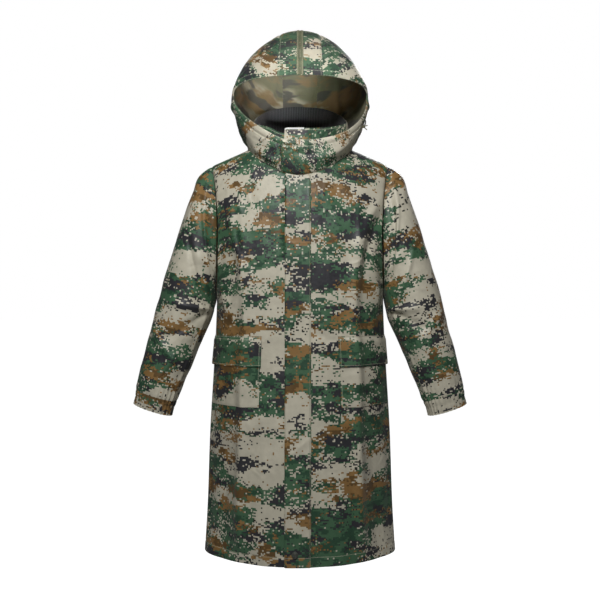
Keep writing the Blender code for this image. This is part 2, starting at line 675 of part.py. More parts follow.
def main():
    clear_objects()
    shell = finish("camouflage shell", (0.20, 0.19, 0.12), 0.5)
    mesh_lining = finish("mesh lining", (0.02, 0.02, 0.022), 0.8)
    tape = finish("light tape", (0.75, 0.75, 0.72), 0.6)
    snap = finish("snap enamel", (0.05, 0.055, 0.045), 0.35)
    cord = finish("cord", (0.12, 0.11, 0.06), 0.7)
    make_body(shell)
    for side, word, route in ((LEFT, "left", CORD_LEFT), (RIGHT, "right", CORD_RIGHT)):
        make_sleeve(side, word, shell)
        make_pocket(side, word, shell)
        make_cord(word, route, cord)
    make_hood(shell)
    make_collar(shell, mesh_lining, tape)
    make_closure(shell, tape, snap)


main()
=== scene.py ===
import math
from collections import namedtuple

import bmesh
import bpy
from mathutils import Matrix, Vector, noise


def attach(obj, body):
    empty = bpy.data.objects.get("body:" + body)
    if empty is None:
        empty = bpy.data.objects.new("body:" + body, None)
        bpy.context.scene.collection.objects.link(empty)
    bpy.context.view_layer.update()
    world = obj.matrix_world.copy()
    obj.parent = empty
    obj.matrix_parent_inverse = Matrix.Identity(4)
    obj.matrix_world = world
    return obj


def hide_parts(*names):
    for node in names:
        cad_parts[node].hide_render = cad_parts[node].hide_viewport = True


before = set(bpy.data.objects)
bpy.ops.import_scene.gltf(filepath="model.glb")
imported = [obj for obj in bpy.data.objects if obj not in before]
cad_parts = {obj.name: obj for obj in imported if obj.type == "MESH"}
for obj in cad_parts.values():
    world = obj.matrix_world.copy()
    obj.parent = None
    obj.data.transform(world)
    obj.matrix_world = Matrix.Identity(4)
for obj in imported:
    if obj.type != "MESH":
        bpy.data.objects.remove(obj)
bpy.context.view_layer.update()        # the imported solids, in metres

# ---- The studio ----
# The coat hangs in the air over a wide pale floor.  One soft light stands in front of it, with
# others above and behind, and the camera looks straight at its front from mid height.
CAMERA_DISTANCE = 2.4
CAMERA_HEIGHT = -0.395
FIELD_OF_VIEW = math.radians(36.7)
FLOOR_HEIGHT = -1.34
FLOOR_HALF_SIZE = 40.0
FLOOR_COLOUR = (0.30, 0.30, 0.30, 1.0)
FLOOR_ROUGHNESS = 0.9
FLOOR_SEEN = (1.0, 1.0, 1.0, 1.0)
FLOOR_GLOW = 1.0
FLOOR_GLOW_ON_CLOTH = 0.05
AIR_COLOUR = (1.0, 1.0, 1.0, 1.0)
AIR_LIGHT = 0.05
AIR_SEEN = 1.0
SENSOR_WIDTH = 36.0


def made_of(name, mesh, *materials):
    """A finished mesh as an object of its materials, in its place in the scene."""
    data = bpy.data.meshes.new(name)
    mesh.to_mesh(data)
    mesh.free()
    for material in materials:
        data.materials.append(material)
    piece = bpy.data.objects.new(name, data)
    bpy.context.collection.objects.link(piece)
    return piece


def start_material(name, **shader_values):
    """A Principled material with its plain values set; its node tree and its shader."""
    material = bpy.data.materials.new(name)
    material.use_nodes = True
    shader = material.node_tree.nodes["Principled BSDF"]
    for key, value in shader_values.items():
        shader.inputs[key.replace("_", " ")].default_value = value
    return material, material.node_tree, shader


def brighter_to_camera(tree, strength, on_cloth, seen):
    """A glow of one strength where it lights the cloth and another where it is looked at."""
    ray = tree.nodes.new("ShaderNodeLightPath")
    glow = tree.nodes.new("ShaderNodeMapRange")
    glow.inputs["To Min"].default_value = on_cloth
    glow.inputs["To Max"].default_value = seen
    tree.links.new(ray.outputs["Is Camera Ray"], glow.inputs["Value"])
    tree.links.new(glow.outputs["Result"], strength)


floor_mesh = bmesh.new()
bmesh.ops.create_grid(floor_mesh, x_segments=1, y_segments=1, size=FLOOR_HALF_SIZE)
bmesh.ops.translate(floor_mesh, verts=floor_mesh.verts, vec=(0, 0, FLOOR_HEIGHT))
floor_paint, floor_tree, floor_shader = start_material(
    "studio floor", Base_Color=FLOOR_COLOUR, Roughness=FLOOR_ROUGHNESS, Emission_Color=FLOOR_SEEN)
brighter_to_camera(floor_tree, floor_shader.inputs["Emission Strength"],
                   FLOOR_GLOW_ON_CLOTH, FLOOR_GLOW)
made_of("studio_floor", floor_mesh, floor_paint)

SoftLight = namedtuple("SoftLight", "name place aim width height power spread")
for soft in (
    SoftLight("front_softbox", (-0.20, -1.75, 0.95), (0, 0, -0.35), 0.6, 0.6, 41, 180),
    SoftLight("hood_softbox", (0.50, -1.8, -0.42), (-0.03, 0, 0.185), 0.12, 0.12, 0.15, 10),
    SoftLight("top_softbox", (0.2, -0.4, 2.4), (0, 0, -0.3), 1.8, 1.2, 9, 180),
    SoftLight("back_softbox", (1.25, 3.0, 1.3), (0, 0, -0.45), 0.9, 0.9, 44, 180),
):
    lamp = bpy.data.lights.new(soft.name, "AREA")
    lamp.shape = "RECTANGLE"
    lamp.size = soft.width
    lamp.size_y = soft.height
    lamp.energy = soft.power
    lamp.spread = math.radians(soft.spread)
    light = bpy.data.objects.new(soft.name, lamp)
    heading = Vector(soft.aim) - Vector(soft.place)
    turned = heading.to_track_quat("-Z", "Y").to_matrix().to_4x4()
    light.matrix_world = Matrix.Translation(soft.place) @ turned
    light.visible_camera = False
    bpy.context.collection.objects.link(light)

air = bpy.data.worlds.new("studio air")
air.use_nodes = True
background = air.node_tree.nodes["Background"]
background.inputs["Color"].default_value = AIR_COLOUR
brighter_to_camera(air.node_tree, background.inputs["Strength"], AIR_LIGHT, AIR_SEEN)
bpy.context.scene.world = air
bpy.context.scene.view_settings.view_transform = "Standard"

lens = bpy.data.cameras.new("camera")
lens.sensor_width = SENSOR_WIDTH
lens.lens = lens.sensor_width / 2 / math.tan(FIELD_OF_VIEW / 2)
camera = bpy.data.objects.new("camera", lens)
camera.location = (0, -CAMERA_DISTANCE, CAMERA_HEIGHT)
camera.rotation_euler = (math.pi / 2, 0, 0)
bpy.context.collection.objects.link(camera)
bpy.context.scene.camera = camera

# ---- The hood's drawcord ----
# The two ends of the olive braided cord that draws the face opening in.  Each comes out at the
# hood's cheek, lies on the cloth for a few centimetres and is tied in a knot with short tails.
CORD_DIAMETER = 0.003
CORD_STEPS = 24
CORD_OLIVE = (0.105, 0.098, 0.050, 1.0)
CORD_FLECK = (0.30, 0.27, 0.16, 1.0)
CORD_FLECK_SCALE = 420.0
CORD_FLECK_START = 0.52
CORD_FLECK_FULL = 0.62
STRAND_SCALE = 1500.0
STRAND_HEIGHT = 0.0004
KNOT_SIZE = 0.00155
KNOT_TUBE = 0.00125
KNOT_REACH = 0.0042       # from the cord's end to the middle of its knot
KNOT_STEPS = 48
TAIL_LENGTH = 0.0120
TAIL_DROOP = Vector((0, 0, -0.0012))
TAIL_HEADINGS = {
    "left": (Vector((0.95, -0.05, 0.35)), Vector((0.75, -0.25, -0.60))),
    "right": (Vector((-0.75, 0.2, 0.45)), Vector((-0.5, 0.3, -0.75))),
}

CordPoint = namedtuple("CordPoint", "along x y z")
CORD_LEFT = [CordPoint(*row) for row in (
    (0.0, 0.1689, -0.0550, 0.0720),
    (1.0, 0.1699, -0.0583, 0.0665),
    (2.0, 0.1687, -0.0655, 0.0595),
    (3.0, 0.1656, -0.0745, 0.0535),
    (4.0, 0.1636, -0.0790, 0.0510),
)]
CORD_RIGHT = [CordPoint(*row) for row in (
    (0.0, -0.1536, 0.0426, 0.1276),
    (1.0, -0.1550, 0.0448, 0.1205),
    (2.0, -0.1543, 0.0468, 0.1130),
    (3.0, -0.1522, 0.0482, 0.1040),
    (4.0, -0.1501, 0.0496, 0.0950),
)]


def blend(start, end, share):
    return start + (end - start) * share


def spread(start, end, steps):
    return [blend(start, end, step / steps) for step in range(steps + 1)]


def follow(table, at):
    """Smooth values of a table's other columns at a place along its first column."""
    last = len(table) - 1
    low = 0
    while low < last - 1 and at > table[low + 1][0]:
        low += 1
    start, end = table[low], table[low + 1]
    before = table[max(low - 1, 0)]
    after = table[min(low + 2, last)]
    span = end[0] - start[0]
    t = (at - start[0]) / span
    values = []
    for column in range(1, len(start)):
        slope_in = (end[column] - before[column]) / (end[0] - before[0])
        slope_out = (after[column] - start[column]) / (after[0] - start[0])
        values.append(
            (2 * t**3 - 3 * t**2 + 1) * start[column]
            + (t**3 - 2 * t**2 + t) * span * slope_in
            + (3 * t**2 - 2 * t**3) * end[column]
            + (t**3 - t**2) * span * slope_out
        )
    return values


def add_node(tree, kind, settings, sockets):
    """A shader node with its settings, and its sockets either linked or set."""
    made = tree.nodes.new(kind)
    for key, value in settings.items():
        setattr(made, key, value)
    for key, value in sockets.items():
        if isinstance(value, bpy.types.NodeSocket):
            tree.links.new(value, made.inputs[key])
        else:
            made.inputs[key].default_value = value
    return made


def mixed(tree, share, low, high):
    """Two colours mixed by a share; each may be a colour or a socket."""
    mix = add_node(tree, "ShaderNodeMix", {"data_type": "RGBA"}, {0: share, 6: low, 7: high})
    return mix.outputs[2]


def coloured(tree, shader, colour):
    tree.links.new(colour, shader.inputs["Base Color"])


def embossed(tree, shader, height, strength, distance):
    """The shader's surface raised by a height, for the grain too fine to model."""
    bump = add_node(tree, "ShaderNodeBump", {},
                    {"Height": height, "Strength": strength, "Distance": distance})
    tree.links.new(bump.outputs[0], shader.inputs["Normal"])


def on_piece(tree):
    return add_node(tree, "ShaderNodeTexCoord", {}, {}).outputs["Object"]


def ramp(tree, value, low, high, kind="LINEAR", **ends):
    """Nought to one, or between other ends, as a value goes from low to high."""
    sockets = {"Value": value, "From Min": low, "From Max": high}
    sockets.update({key.replace("_", " "): end for key, end in ends.items()})
    return add_node(tree, "ShaderNodeMapRange", {"interpolation_type": kind}, sockets).outputs[0]


def mottle(tree, place, scale, flat=True, kind="FBM", **sockets):
    """Uneven cloudy values, flat on the cloth or all through the piece."""
    settings = {"noise_dimensions": "2D" if flat else "3D", "noise_type": kind}
    return add_node(tree, "ShaderNodeTexNoise", settings,
                    {"Vector": place, "Scale": scale, **sockets}).outputs[0]


def braided_cord():
    material, tree, shader = start_material("olive braided cord", Roughness=0.75)
    place = on_piece(tree)
    strands = add_node(tree, "ShaderNodeTexVoronoi", {}, {"Vector": place, "Scale": STRAND_SCALE})
    fleck = mottle(tree, place, CORD_FLECK_SCALE, flat=False)
    share = ramp(tree, fleck, CORD_FLECK_START, CORD_FLECK_FULL)
    coloured(tree, shader, mixed(tree, share, CORD_OLIVE, CORD_FLECK))
    embossed(tree, shader, strands.outputs["Distance"], 0.7, STRAND_HEIGHT)
    return material


def cord_curve(name, runs, radius, material):
    """A round cord along one or more runs of points; a closed run is given as (points, True)."""
    curve = bpy.data.curves.new(name, "CURVE")
    curve.dimensions = "3D"
    curve.bevel_depth = radius
    curve.bevel_resolution = 3
    curve.use_fill_caps = True
    for points, closed in runs:
        line = curve.splines.new("POLY")
        line.points.add(len(points) - 1)
        for point, place in zip(line.points, points):
            point.co = (*place, 1)
        line.use_cyclic_u = closed
    curve.materials.append(material)
    cord = bpy.data.objects.new(name, curve)
    bpy.context.collection.objects.link(cord)
    return cord


def stands_for(piece, node):
    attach(piece, "root")
    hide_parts(node)


cord_cloth = braided_cord()
for word, route in (("left", CORD_LEFT), ("right", CORD_RIGHT)):
    line = [Vector(follow(route, along)) for along in spread(0, route[-1].along, CORD_STEPS)]
    heading = (line[-1] - line[-2]).normalized()
    knot_middle = line[-1] + heading * KNOT_REACH
    loop = []
    for turn in spread(0, 2 * math.pi, KNOT_STEPS)[:-1]:
        bight = Vector((math.sin(turn) + 2 * math.sin(2 * turn),
                        math.cos(turn) - 2 * math.cos(2 * turn), -1.3 * math.sin(3 * turn)))
        loop.append(knot_middle + heading.to_track_quat("X", "Z") @ bight * KNOT_SIZE)
    tails = []
    for tail_heading in TAIL_HEADINGS[word]:
        way = tail_heading.normalized()
        tails.append([knot_middle + way * TAIL_LENGTH * t + TAIL_DROOP * t * t
                      for t in spread(0.2, 1, 6)])
    knot = cord_curve("drawcord_knot_" + word, [(loop, True), (tails[0], False), (tails[1], False)],
                      KNOT_TUBE, cord_cloth)
    cord = cord_curve("drawcord_" + word, [(line, False)], CORD_DIAMETER / 2, cord_cloth)
    stands_for(cord, "cord_" + word)
    stands_for(knot, "knot_" + word)

# ---- The fronts and the back ----
# Two fronts and a one-piece back of thin coated polyester, printed with blocky woodland camouflage.
# They are sewn at the shoulders and sides, turned up in a stitched hem and pressed in long creases.
CLOTH = 0.0020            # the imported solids' cloth; the sewn cloth itself is thinner
CLOTH_THICKNESS = 0.0011
GAP = 0.0003
HEM_Z = -1.054
UNDERARM_Z = -0.372
NECK_HALF_WIDTH = 0.138
NECK_FRONT_DROP = 0.078
NECK_BACK_DROP = 0.020
SHOULDER_HALF_WIDTH = 0.2332
SHOULDER_DROP = 0.0415
SHOULDER_SLOPE = SHOULDER_DROP / (SHOULDER_HALF_WIDTH - NECK_HALF_WIDTH)
COLUMN_ROUND = 2.5
SHOULDER_ROUND = 2.6
PRESS_FOLD_SHARE = 0.63
PRESS_FOLD_HEIGHT = 0.006
PRESS_FOLD_WIDTH = 0.018
ZIP_HALF_GAP = 0.003
FLAP_NECK_GAP = 0.0028
HEM_DEPTH = 0.024
HEM_STITCH = 0.0235
HEM_DOUBLED = 0.0004
HEM_PULL = 0.0006
HEM_CALM = 0.08           # the height above the hem over which the pressed folds die out
SEAM_SINK = 0.0011
SEAM_WIDTH = 0.0026
SEAM_SWELL = 0.0004
ROLL_ON, ROLL_OFF = (0.2, 0.4, 0.65), (0.35, 0.6, 0.8)
ARMHOLE_SINK = 0.0011
ARMHOLE_WIDTH = 0.007
FLAP_BED_X = -0.0410      # the fronts are pressed in a little under the storm flap's free edge
FLAP_BED = 0.0045
CREASE_STRENGTH = 2.0
BODY_CRUMPLE = ((0.075, 0.0022), (0.026, 0.0006))
CREASE_END = 0.25         # share of a crease's length that it fades over, past each of its ends
CLOTH_SHARP = 60          # degrees between faces, past which an edge is sharp
FRONT, BACK = -1, 1
LEFT, RIGHT = 1, -1
SIDES = ((LEFT, "left"), (RIGHT, "right"))
PRESS_SHARE = {FRONT: 1.0, BACK: 0.5}
PRESS_CRISP = {FRONT: 0.0064, BACK: 0.0030}
PRESS_CRISP_WIDTH = 0.011
PRESS_WAVER = 0.0025
PRESS_TOP_Z = -0.26
PRESS_TUCK = 0.0055
PRESS_TUCK_WIDTH = 0.024
PRESS_TUCK_TOP_Z = -0.30

BodySection = namedtuple("BodySection", "z half_width front back side_round")
BODY = [BodySection(*row) for row in (
    (-1.054, 0.2515, 0.176, 0.170, 1.75),
    (-0.925, 0.2440, 0.168, 0.164, 1.80),
    (-0.740, 0.2375, 0.160, 0.158, 1.95),
    (-0.580, 0.2280, 0.152, 0.152, 2.15),
    (-0.480, 0.2222, 0.148, 0.149, 2.30),
    (-0.372, 0.2200, 0.144, 0.147, 2.45),
    (-0.280, 0.2295, 0.141, 0.146, 2.50),
    (-0.180, 0.2385, 0.139, 0.145, 2.50),
    (-0.080, 0.2440, 0.138, 0.144, 2.50),
    (0.060, 0.2480, 0.138, 0.144, 2.50),
)]
ArmholeEdge = namedtuple("ArmholeEdge", "z x")
ARMHOLE = [ArmholeEdge(*row) for row in (
    (-0.3720, 0.2200),
    (-0.3400, 0.2172),
    (-0.2800, 0.2146),
    (-0.2000, 0.2135),
    (-0.1200, 0.2190),
    (-0.0700, 0.2265),
    (-0.0415, 0.2332),
)]

# Creases: a soft ridge, or a trough where the height is negative, between two points.  The
# points are across and up on the front or back; bow bends the crease sideways at its middle.
Crease = namedtuple("Crease", "x0 z0 x1 z1 width height bow")
FRONT_CREASES = [Crease(*row) for row in (
    (-0.176, -0.170, -0.146, -0.300, 0.012, 0.0050, 0.006),
    (-0.160, -0.228, -0.128, -0.312, 0.009, -0.0042, 0.004),
    (-0.146, -0.300, -0.170, -0.420, 0.012, 0.0034, -0.006),
    (-0.120, -0.110, -0.186, -0.235, 0.018, -0.0022, -0.010),
    (0.085, -0.118, 0.196, -0.200, 0.016, -0.0026, 0.012),
    (0.196, -0.150, 0.150, -0.300, 0.012, 0.0040, 0.010),
    (0.206, -0.190, 0.166, -0.330, 0.010, -0.0034, 0.008),
    (0.172, -0.290, 0.204, -0.405, 0.013, 0.0032, -0.008),
    (-0.205, -0.330, -0.178, -0.440, 0.012, 0.0028, 0.008),
    (0.030, -0.448, 0.072, -0.470, 0.006, 0.0014, 0.002),
    (0.033, -0.466, 0.080, -0.498, 0.007, -0.0014, 0.003),
    (0.040, -0.492, 0.066, -0.524, 0.006, 0.0012, 0.000),
    (0.086, -0.650, 0.116, -0.678, 0.005, 0.0016, 0.001),
    (0.060, -0.700, 0.140, -0.760, 0.020, -0.0020, 0.008),
    (-0.062, -0.640, -0.120, -0.735, 0.018, 0.0020, 0.006),
    (-0.085, -0.800, -0.092, -1.050, 0.026, 0.0034, 0.008),
    (-0.188, -0.760, -0.205, -1.050, 0.024, -0.0042, 0.004),
    (0.186, -0.720, 0.206, -1.050, 0.026, -0.0046, -0.004),
    (0.092, -0.840, 0.100, -1.050, 0.028, 0.0032, -0.008),
    (0.036, -0.900, 0.052, -1.050, 0.020, -0.0022, 0.004),
    (-0.200, -0.560, -0.216, -0.640, 0.010, 0.0024, 0.002),
)]
BACK_CREASES = [Crease(*row) for row in (
    (-0.150, -0.100, -0.060, -0.260, 0.022, -0.0034, 0.012),
    (0.162, -0.110, 0.075, -0.285, 0.020, -0.0030, -0.014),
    (-0.190, -0.180, -0.150, -0.380, 0.018, 0.0042, 0.012),
    (0.188, -0.200, 0.158, -0.360, 0.016, 0.0038, -0.010),
    (-0.050, -0.330, -0.120, -0.420, 0.015, 0.0024, 0.006),
    (0.062, -0.400, 0.132, -0.470, 0.014, 0.0022, 0.004),
    (-0.012, -0.560, -0.030, -1.050, 0.030, 0.0052, 0.010),
    (0.070, -0.640, 0.094, -1.050, 0.028, -0.0048, 0.008),
    (-0.100, -0.620, -0.118, -1.050, 0.028, -0.0044, -0.008),
    (0.160, -0.580, 0.186, -1.050, 0.026, 0.0044, -0.006),
    (-0.178, -0.680, -0.196, -1.050, 0.024, 0.0040, 0.004),
    (0.030, -0.520, 0.110, -0.590, 0.012, 0.0020, 0.002),
    (-0.140, -0.500, -0.060, -0.575, 0.012, -0.0018, 0.004),
)]
CREASES = {FRONT: FRONT_CREASES, BACK: BACK_CREASES}


def smooth_step(value):
    value = min(max(value, 0.0), 1.0)
    return value * value * (3 - 2 * value)


def rise(value, start, width):
    """Nought before a start, one after a width, and a smooth step between."""
    return smooth_step((value - start) / width)


def power(value, exponent):
    return max(value, 0.0) ** exponent


def signed_power(value, exponent):
    return math.copysign(power(abs(value), exponent), value)


def bump_of(distance, width):
    return math.exp(-((distance / width) ** 2))


def ridge(distance, at, height, width):
    """A soft ridge at a distance from an edge, or a groove where its height is negative."""
    return height * bump_of(distance - at, width)


def fold_of(off):
    """Section of a crease: crisper at its top than a swell."""
    return 0.55 * math.exp(-off * off) + 0.45 * math.exp(-1.6 * (math.sqrt(off * off + 0.04) - 0.2))


def shoulder_line(x):
    return -SHOULDER_SLOPE * (abs(x) - NECK_HALF_WIDTH)


def neck_line(x, face):
    drop = NECK_FRONT_DROP if face == FRONT else NECK_BACK_DROP
    return -drop * (1 - (x / NECK_HALF_WIDTH) ** 2)


def top_line(x, face):
    if abs(x) < NECK_HALF_WIDTH:
        return neck_line(x, face)
    return shoulder_line(x)


def body_y(x, z, face):
    """Depth of the front or back at a place across and a height."""
    half_width, front, back, side_round = follow(BODY, z)
    depth = front if face == FRONT else back
    across = min(abs(x) / half_width, 1.0)
    round_side = power(1 - across**side_round, 1 / side_round)
    climb = (z - UNDERARM_Z) / (shoulder_line(x) - UNDERARM_Z)
    round_top = power(1 - min(max(climb, 0.0), 1.0) ** SHOULDER_ROUND, 1 / SHOULDER_ROUND)
    off_fold = (across - PRESS_FOLD_SHARE) * half_width
    fade = 1 - rise(z, start=-0.36, width=0.2)
    fold = PRESS_FOLD_HEIGHT * bump_of(off_fold, PRESS_FOLD_WIDTH) * fade * PRESS_SHARE[face]
    return face * (depth * round_side + fold) * round_top


def edge_turn(edge_x, half_width):
    return math.asin(min(power(edge_x / half_width, COLUMN_ROUND / 2), 1.0))


BODY_TOP_WIDTH = follow(BODY, -SHOULDER_DROP)[0]
BODY_FULL_TURN = edge_turn(SHOULDER_HALF_WIDTH, BODY_TOP_WIDTH)


def body_point(column, level, face):
    """Body surface. column is the x where the column meets the neck or shoulder line; level is 0 at
    the hem, 1 at the underarm and 2 at the neck and shoulder line."""
    side = 1 if column >= 0 else -1
    share = edge_turn(abs(column), BODY_TOP_WIDTH) / BODY_FULL_TURN
    if level <= 1:
        z = blend(HEM_Z, UNDERARM_Z, level)
        edge_x = follow(BODY, z)[0]
        turn = math.pi / 2
    else:
        climb = (1 - math.cos(math.pi * (level - 1))) / 2
        edge_z = blend(UNDERARM_Z, -SHOULDER_DROP, climb)
        edge_x = follow(ARMHOLE, edge_z)[0]
        turn = edge_turn(edge_x, follow(BODY, edge_z)[0])
        z = blend(UNDERARM_Z, top_line(column, face), climb)
    x = side * edge_x * power(math.sin(share * turn) / math.sin(turn), 2 / COLUMN_ROUND)
    apart = GAP / 2 * (1 - rise(share, start=0.985, width=0.01) * smooth_step((1.02 - level) / 0.02))
    return Vector((x, body_y(x, z, face) + face * apart, z))


def column_at(share):
    """The body column at a share of the way round from the centre to the side."""
    return BODY_TOP_WIDTH * power(math.sin(share * BODY_FULL_TURN), 2 / COLUMN_ROUND)


def level_of(z):
    return (z - HEM_Z) / (UNDERARM_Z - HEM_Z)


def refined(values, at_start=True, at_end=True):
    """Steps with three extra ones inside the first and last, for the roll of a sewn edge."""
    made = list(values)
    if at_end:
        last, before = made[-1], made[-2]
        made[-1:] = [blend(before, last, share) for share in ROLL_OFF] + [last]
    if at_start:
        first, after = made[0], made[1]
        made[:1] = [first] + [blend(first, after, share) for share in ROLL_ON]
    return made


def crease_lift(creases, across, up):
    """Height of all the creases at a place."""
    total = 0.0
    for crease in creases:
        span_x, span_z = crease.x1 - crease.x0, crease.z1 - crease.z0
        reach = 1 / (span_x * span_x + span_z * span_z)
        t = ((across - crease.x0) * span_x + (up - crease.z0) * span_z) * reach
        if -CREASE_END < t < 1 + CREASE_END:
            off = ((across - crease.x0) * span_z - (up - crease.z0) * span_x) * math.sqrt(reach)
            off -= crease.bow * (1 - (2 * t - 1) ** 2)
            if abs(off) < 3 * crease.width:
                ends = smooth_step((t + CREASE_END) / 0.5) * smooth_step((1 + CREASE_END - t) / 0.5)
                total += crease.height * fold_of(off / crease.width) * ends
    return total * CREASE_STRENGTH


def crumple(point, layers):
    """Small unevenness of thin cloth, the same each time; each layer has a size and a depth."""
    return sum(depth * noise.noise(point / size) for size, depth in layers)


Spot = namedtuple("Spot", "u v point west east south north")
Panel = namedtuple("Panel", "piece width length area")


def cut_flat(mesh):
    """Where each vertex lies on the flat cut piece: the sheet unrolled with its upright grain along
    v, in metres, so that its area is the cloth's."""
    trial_data = bpy.data.meshes.new("flat_cut")
    mesh.to_mesh(trial_data)
    trial = bpy.data.objects.new("flat_cut", trial_data)
    bpy.context.collection.objects.link(trial)
    bpy.context.view_layer.objects.active = trial
    bpy.ops.object.mode_set(mode="EDIT")
    bpy.ops.mesh.select_all(action="SELECT")
    bpy.ops.uv.unwrap(method="CONFORMAL", margin=0.0)
    bpy.ops.object.mode_set(mode="OBJECT")
    flat = {}
    for corner, spot in zip(trial_data.loops, trial_data.uv_layers["cloth"].uv):
        flat[corner.vertex_index] = Vector(spot.vector)
    cloth_area = flat_area = 0.0
    upright = Vector((0.0, 0.0))
    for face in trial_data.polygons:
        corners = [flat[index] for index in face.vertices]
        cloth_area += face.area
        flat_area += sum(a.cross(b) for a, b in zip(corners, corners[1:] + corners[:1])) / 2
        for a, b in zip(face.vertices, list(face.vertices)[1:] + [face.vertices[0]]):
            climb = trial_data.vertices[b].co.z - trial_data.vertices[a].co.z
            upright += (flat[b] - flat[a]) * climb
    bpy.data.objects.remove(trial)
    bpy.data.meshes.remove(trial_data)
    turn = Matrix.Rotation(math.pi / 2 - math.atan2(upright.y, upright.x), 2)
    size = math.sqrt(cloth_area / abs(flat_area))
    return [turn @ flat[index] * size for index in range(len(flat))]


def smoothed(piece, sharp_degrees):
    piece.data.shade_smooth()
    piece.data.set_sharp_from_angle(angle=math.radians(sharp_degrees))
    return piece


def run_along(points):
    """Distance along a line of points from its start to each of them."""
    run = [0.0]
    for a, b in zip(points, points[1:]):
        run.append(run[-1] + (b - a).length)
    return run


def lay_cloth(name, form, columns, rows, materials, relief, sense=1, lift=0.0, tube=False,
              middle=None, print_shift=(0.0, 0.0), thickness=CLOTH_THICKNESS, unroll=False):
    """One cut piece: a thin closed sheet on form(u, v), moved out by lift and by relief(spot). Its
    UV map is in metres of cloth, with the grain along v; unroll cuts a curved piece truly flat."""
    mesh = bmesh.new()
    inward = mesh.verts.layers.float_vector.new("inward")
    edges = mesh.verts.layers.float_color.new("edges")
    cloth_map = mesh.loops.layers.uv.new("cloth")
    across, down = len(columns) - 1, len(rows) - 1
    middle = across // 2 if middle is None else middle
    bmesh.ops.create_grid(mesh, x_segments=across, y_segments=down, size=0.5)
    mesh.verts.index_update()
    grid = [[None] * (across + 1) for _ in rows]
    address = {}
    for vert in mesh.verts:
        i, j = round((vert.co.x + 0.5) * across), round((vert.co.y + 0.5) * down)
        grid[j][i] = vert
        address[vert] = (i, j)
    for vert, (i, j) in address.items():
        vert.co = form(columns[i], rows[j])
    if sense < 0:
        bmesh.ops.reverse_faces(mesh, faces=mesh.faces)
    mesh.normal_update()
    places = [[vert.co.copy() for vert in line] for line in grid]
    normals = [[vert.normal.copy() for vert in line] for line in grid]
    if tube:
        for line in normals:
            line[0] = line[-1] = (line[0] + line[-1]).normalized()
    across_run = [run_along(line) for line in places]
    down_run = list(zip(*(run_along(line) for line in zip(*places))))
    if unroll:
        flat = cut_flat(mesh)
        origin = flat[grid[0][middle].index]
        cloth = {vert: flat[vert.index] - origin for vert in mesh.verts}
    else:
        cloth = {vert: Vector((across_run[j][i] - across_run[j][middle], down_run[j][i]))
                 for vert, (i, j) in address.items()}
    for face in mesh.faces:
        for loop in face.loops:
            loop[cloth_map].uv = cloth[loop.vert] + Vector(print_shift)
    for vert, (i, j) in address.items():
        west, south = across_run[j][i], down_run[j][i]
        spot = Spot(columns[i], rows[j], places[j][i], west, across_run[j][-1] - west,
                    south, down_run[-1][i] - south)
        vert[edges] = (spot.west, spot.east, spot.south, spot.north)
        vert[inward] = normals[j][i]
        vert.co = places[j][i] + normals[j][i] * (lift + relief(spot))
    area = sum(face.calc_area() for face in mesh.faces)
    width, length = (max(side) - min(side) for side in zip(*cloth.values()))
    grown = bmesh.ops.extrude_face_region(mesh, geom=mesh.faces[:], use_keep_orig=True)
    for item in grown["geom"]:
        if isinstance(item, bmesh.types.BMVert):
            item.co -= Vector(item[inward]) * thickness
        elif isinstance(item, bmesh.types.BMFace):
            item.material_index = 1
    if tube:
        bmesh.ops.remove_doubles(mesh, verts=mesh.verts, dist=1e-5)
    bmesh.ops.recalc_face_normals(mesh, faces=mesh.faces)
    return Panel(smoothed(made_of(name, mesh, *materials), CLOTH_SHARP), width, length, area)


def declare(panel, node):
    """The piece rides on the coat and stands for its solid."""
    stands_for(panel.piece, node)


def sew(node, name, form, columns, rows, cloths, relief, slot="camouflage_shell", held="hung",
        **laid):
    declare(lay_cloth(name, form, columns, rows, cloths, relief, **laid), node)


# The print: cells of one colour each, in broad ragged patches that lie across the cloth, with stray
# cells scattered along their edges.  Its layout is made up here and repeats nothing.
PRINT_CELL = 0.0036
SAND = (0.470, 0.440, 0.348, 1.0)
LEAF = (0.050, 0.114, 0.060, 1.0)
PINE = (0.023, 0.062, 0.034, 1.0)
EARTH = (0.108, 0.062, 0.021, 1.0)
CLAY = (0.225, 0.128, 0.044, 1.0)
COAL = (0.026, 0.026, 0.030, 1.0)
SPECK = (0.018, 0.019, 0.014, 1.0)
PrintPatch = namedtuple("PrintPatch", "offset across up ragged detail roughness start")
LEAF_PATCH = PrintPatch(3.1, 3.8, 8.6, 0.085, 2.3, 0.50, 0.424)
EARTH_PATCH = PrintPatch(11.7, 6.2, 14.6, 0.062, 3.0, 0.62, 0.606)
COAL_PATCH = PrintPatch(23.3, 8.6, 25.0, 0.080, 2.0, 0.55, 0.728)
SAND_PATCH = PrintPatch(31.3, 4.2, 10.4, 0.085, 2.3, 0.50, 0.612)
PINE_PATCH = PrintPatch(41.0, 22.0, 45.0, 0.100, 2.0, 0.50, 0.53)
CLAY_PATCH = PrintPatch(53.0, 16.0, 30.0, 0.060, 3.0, 0.60, 0.49)
PATCH_ROUGHENING = 2.2    # how much finer each further layer of a patch's outline is
SPECK_BELOW = 0.418       # the thin dark seam just outside the greens
COAL_BY_LEAF = 0.30       # coal keeps near the greens
DOT_CHANCE = 0.035
STRAY_LEAN = 0.13
WEAR_SCALE = 60.0
WEAR_DARK, WEAR_SPAN = 0.89, 0.22
SHELL_GLOSS, SHELL_GLOSS_SPAN = 0.36, 0.25
CRACKLE_SCALE = 150.0
RUMPLE_SCALE = 26.0
RUMPLE_HEIGHT = 4.0
WEAVE_SCALE = 260.0
WEAVE_HEIGHT = 0.04
THREAD_HEIGHT = 0.4
GRAIN_DEPTH = 0.0012
EDGE_STITCH = 0.0030      # insets of the two common lines of stitching
TOPSTITCH = 0.0045
STITCH_LENGTH = 0.0032
STITCH_SHARE = 0.72
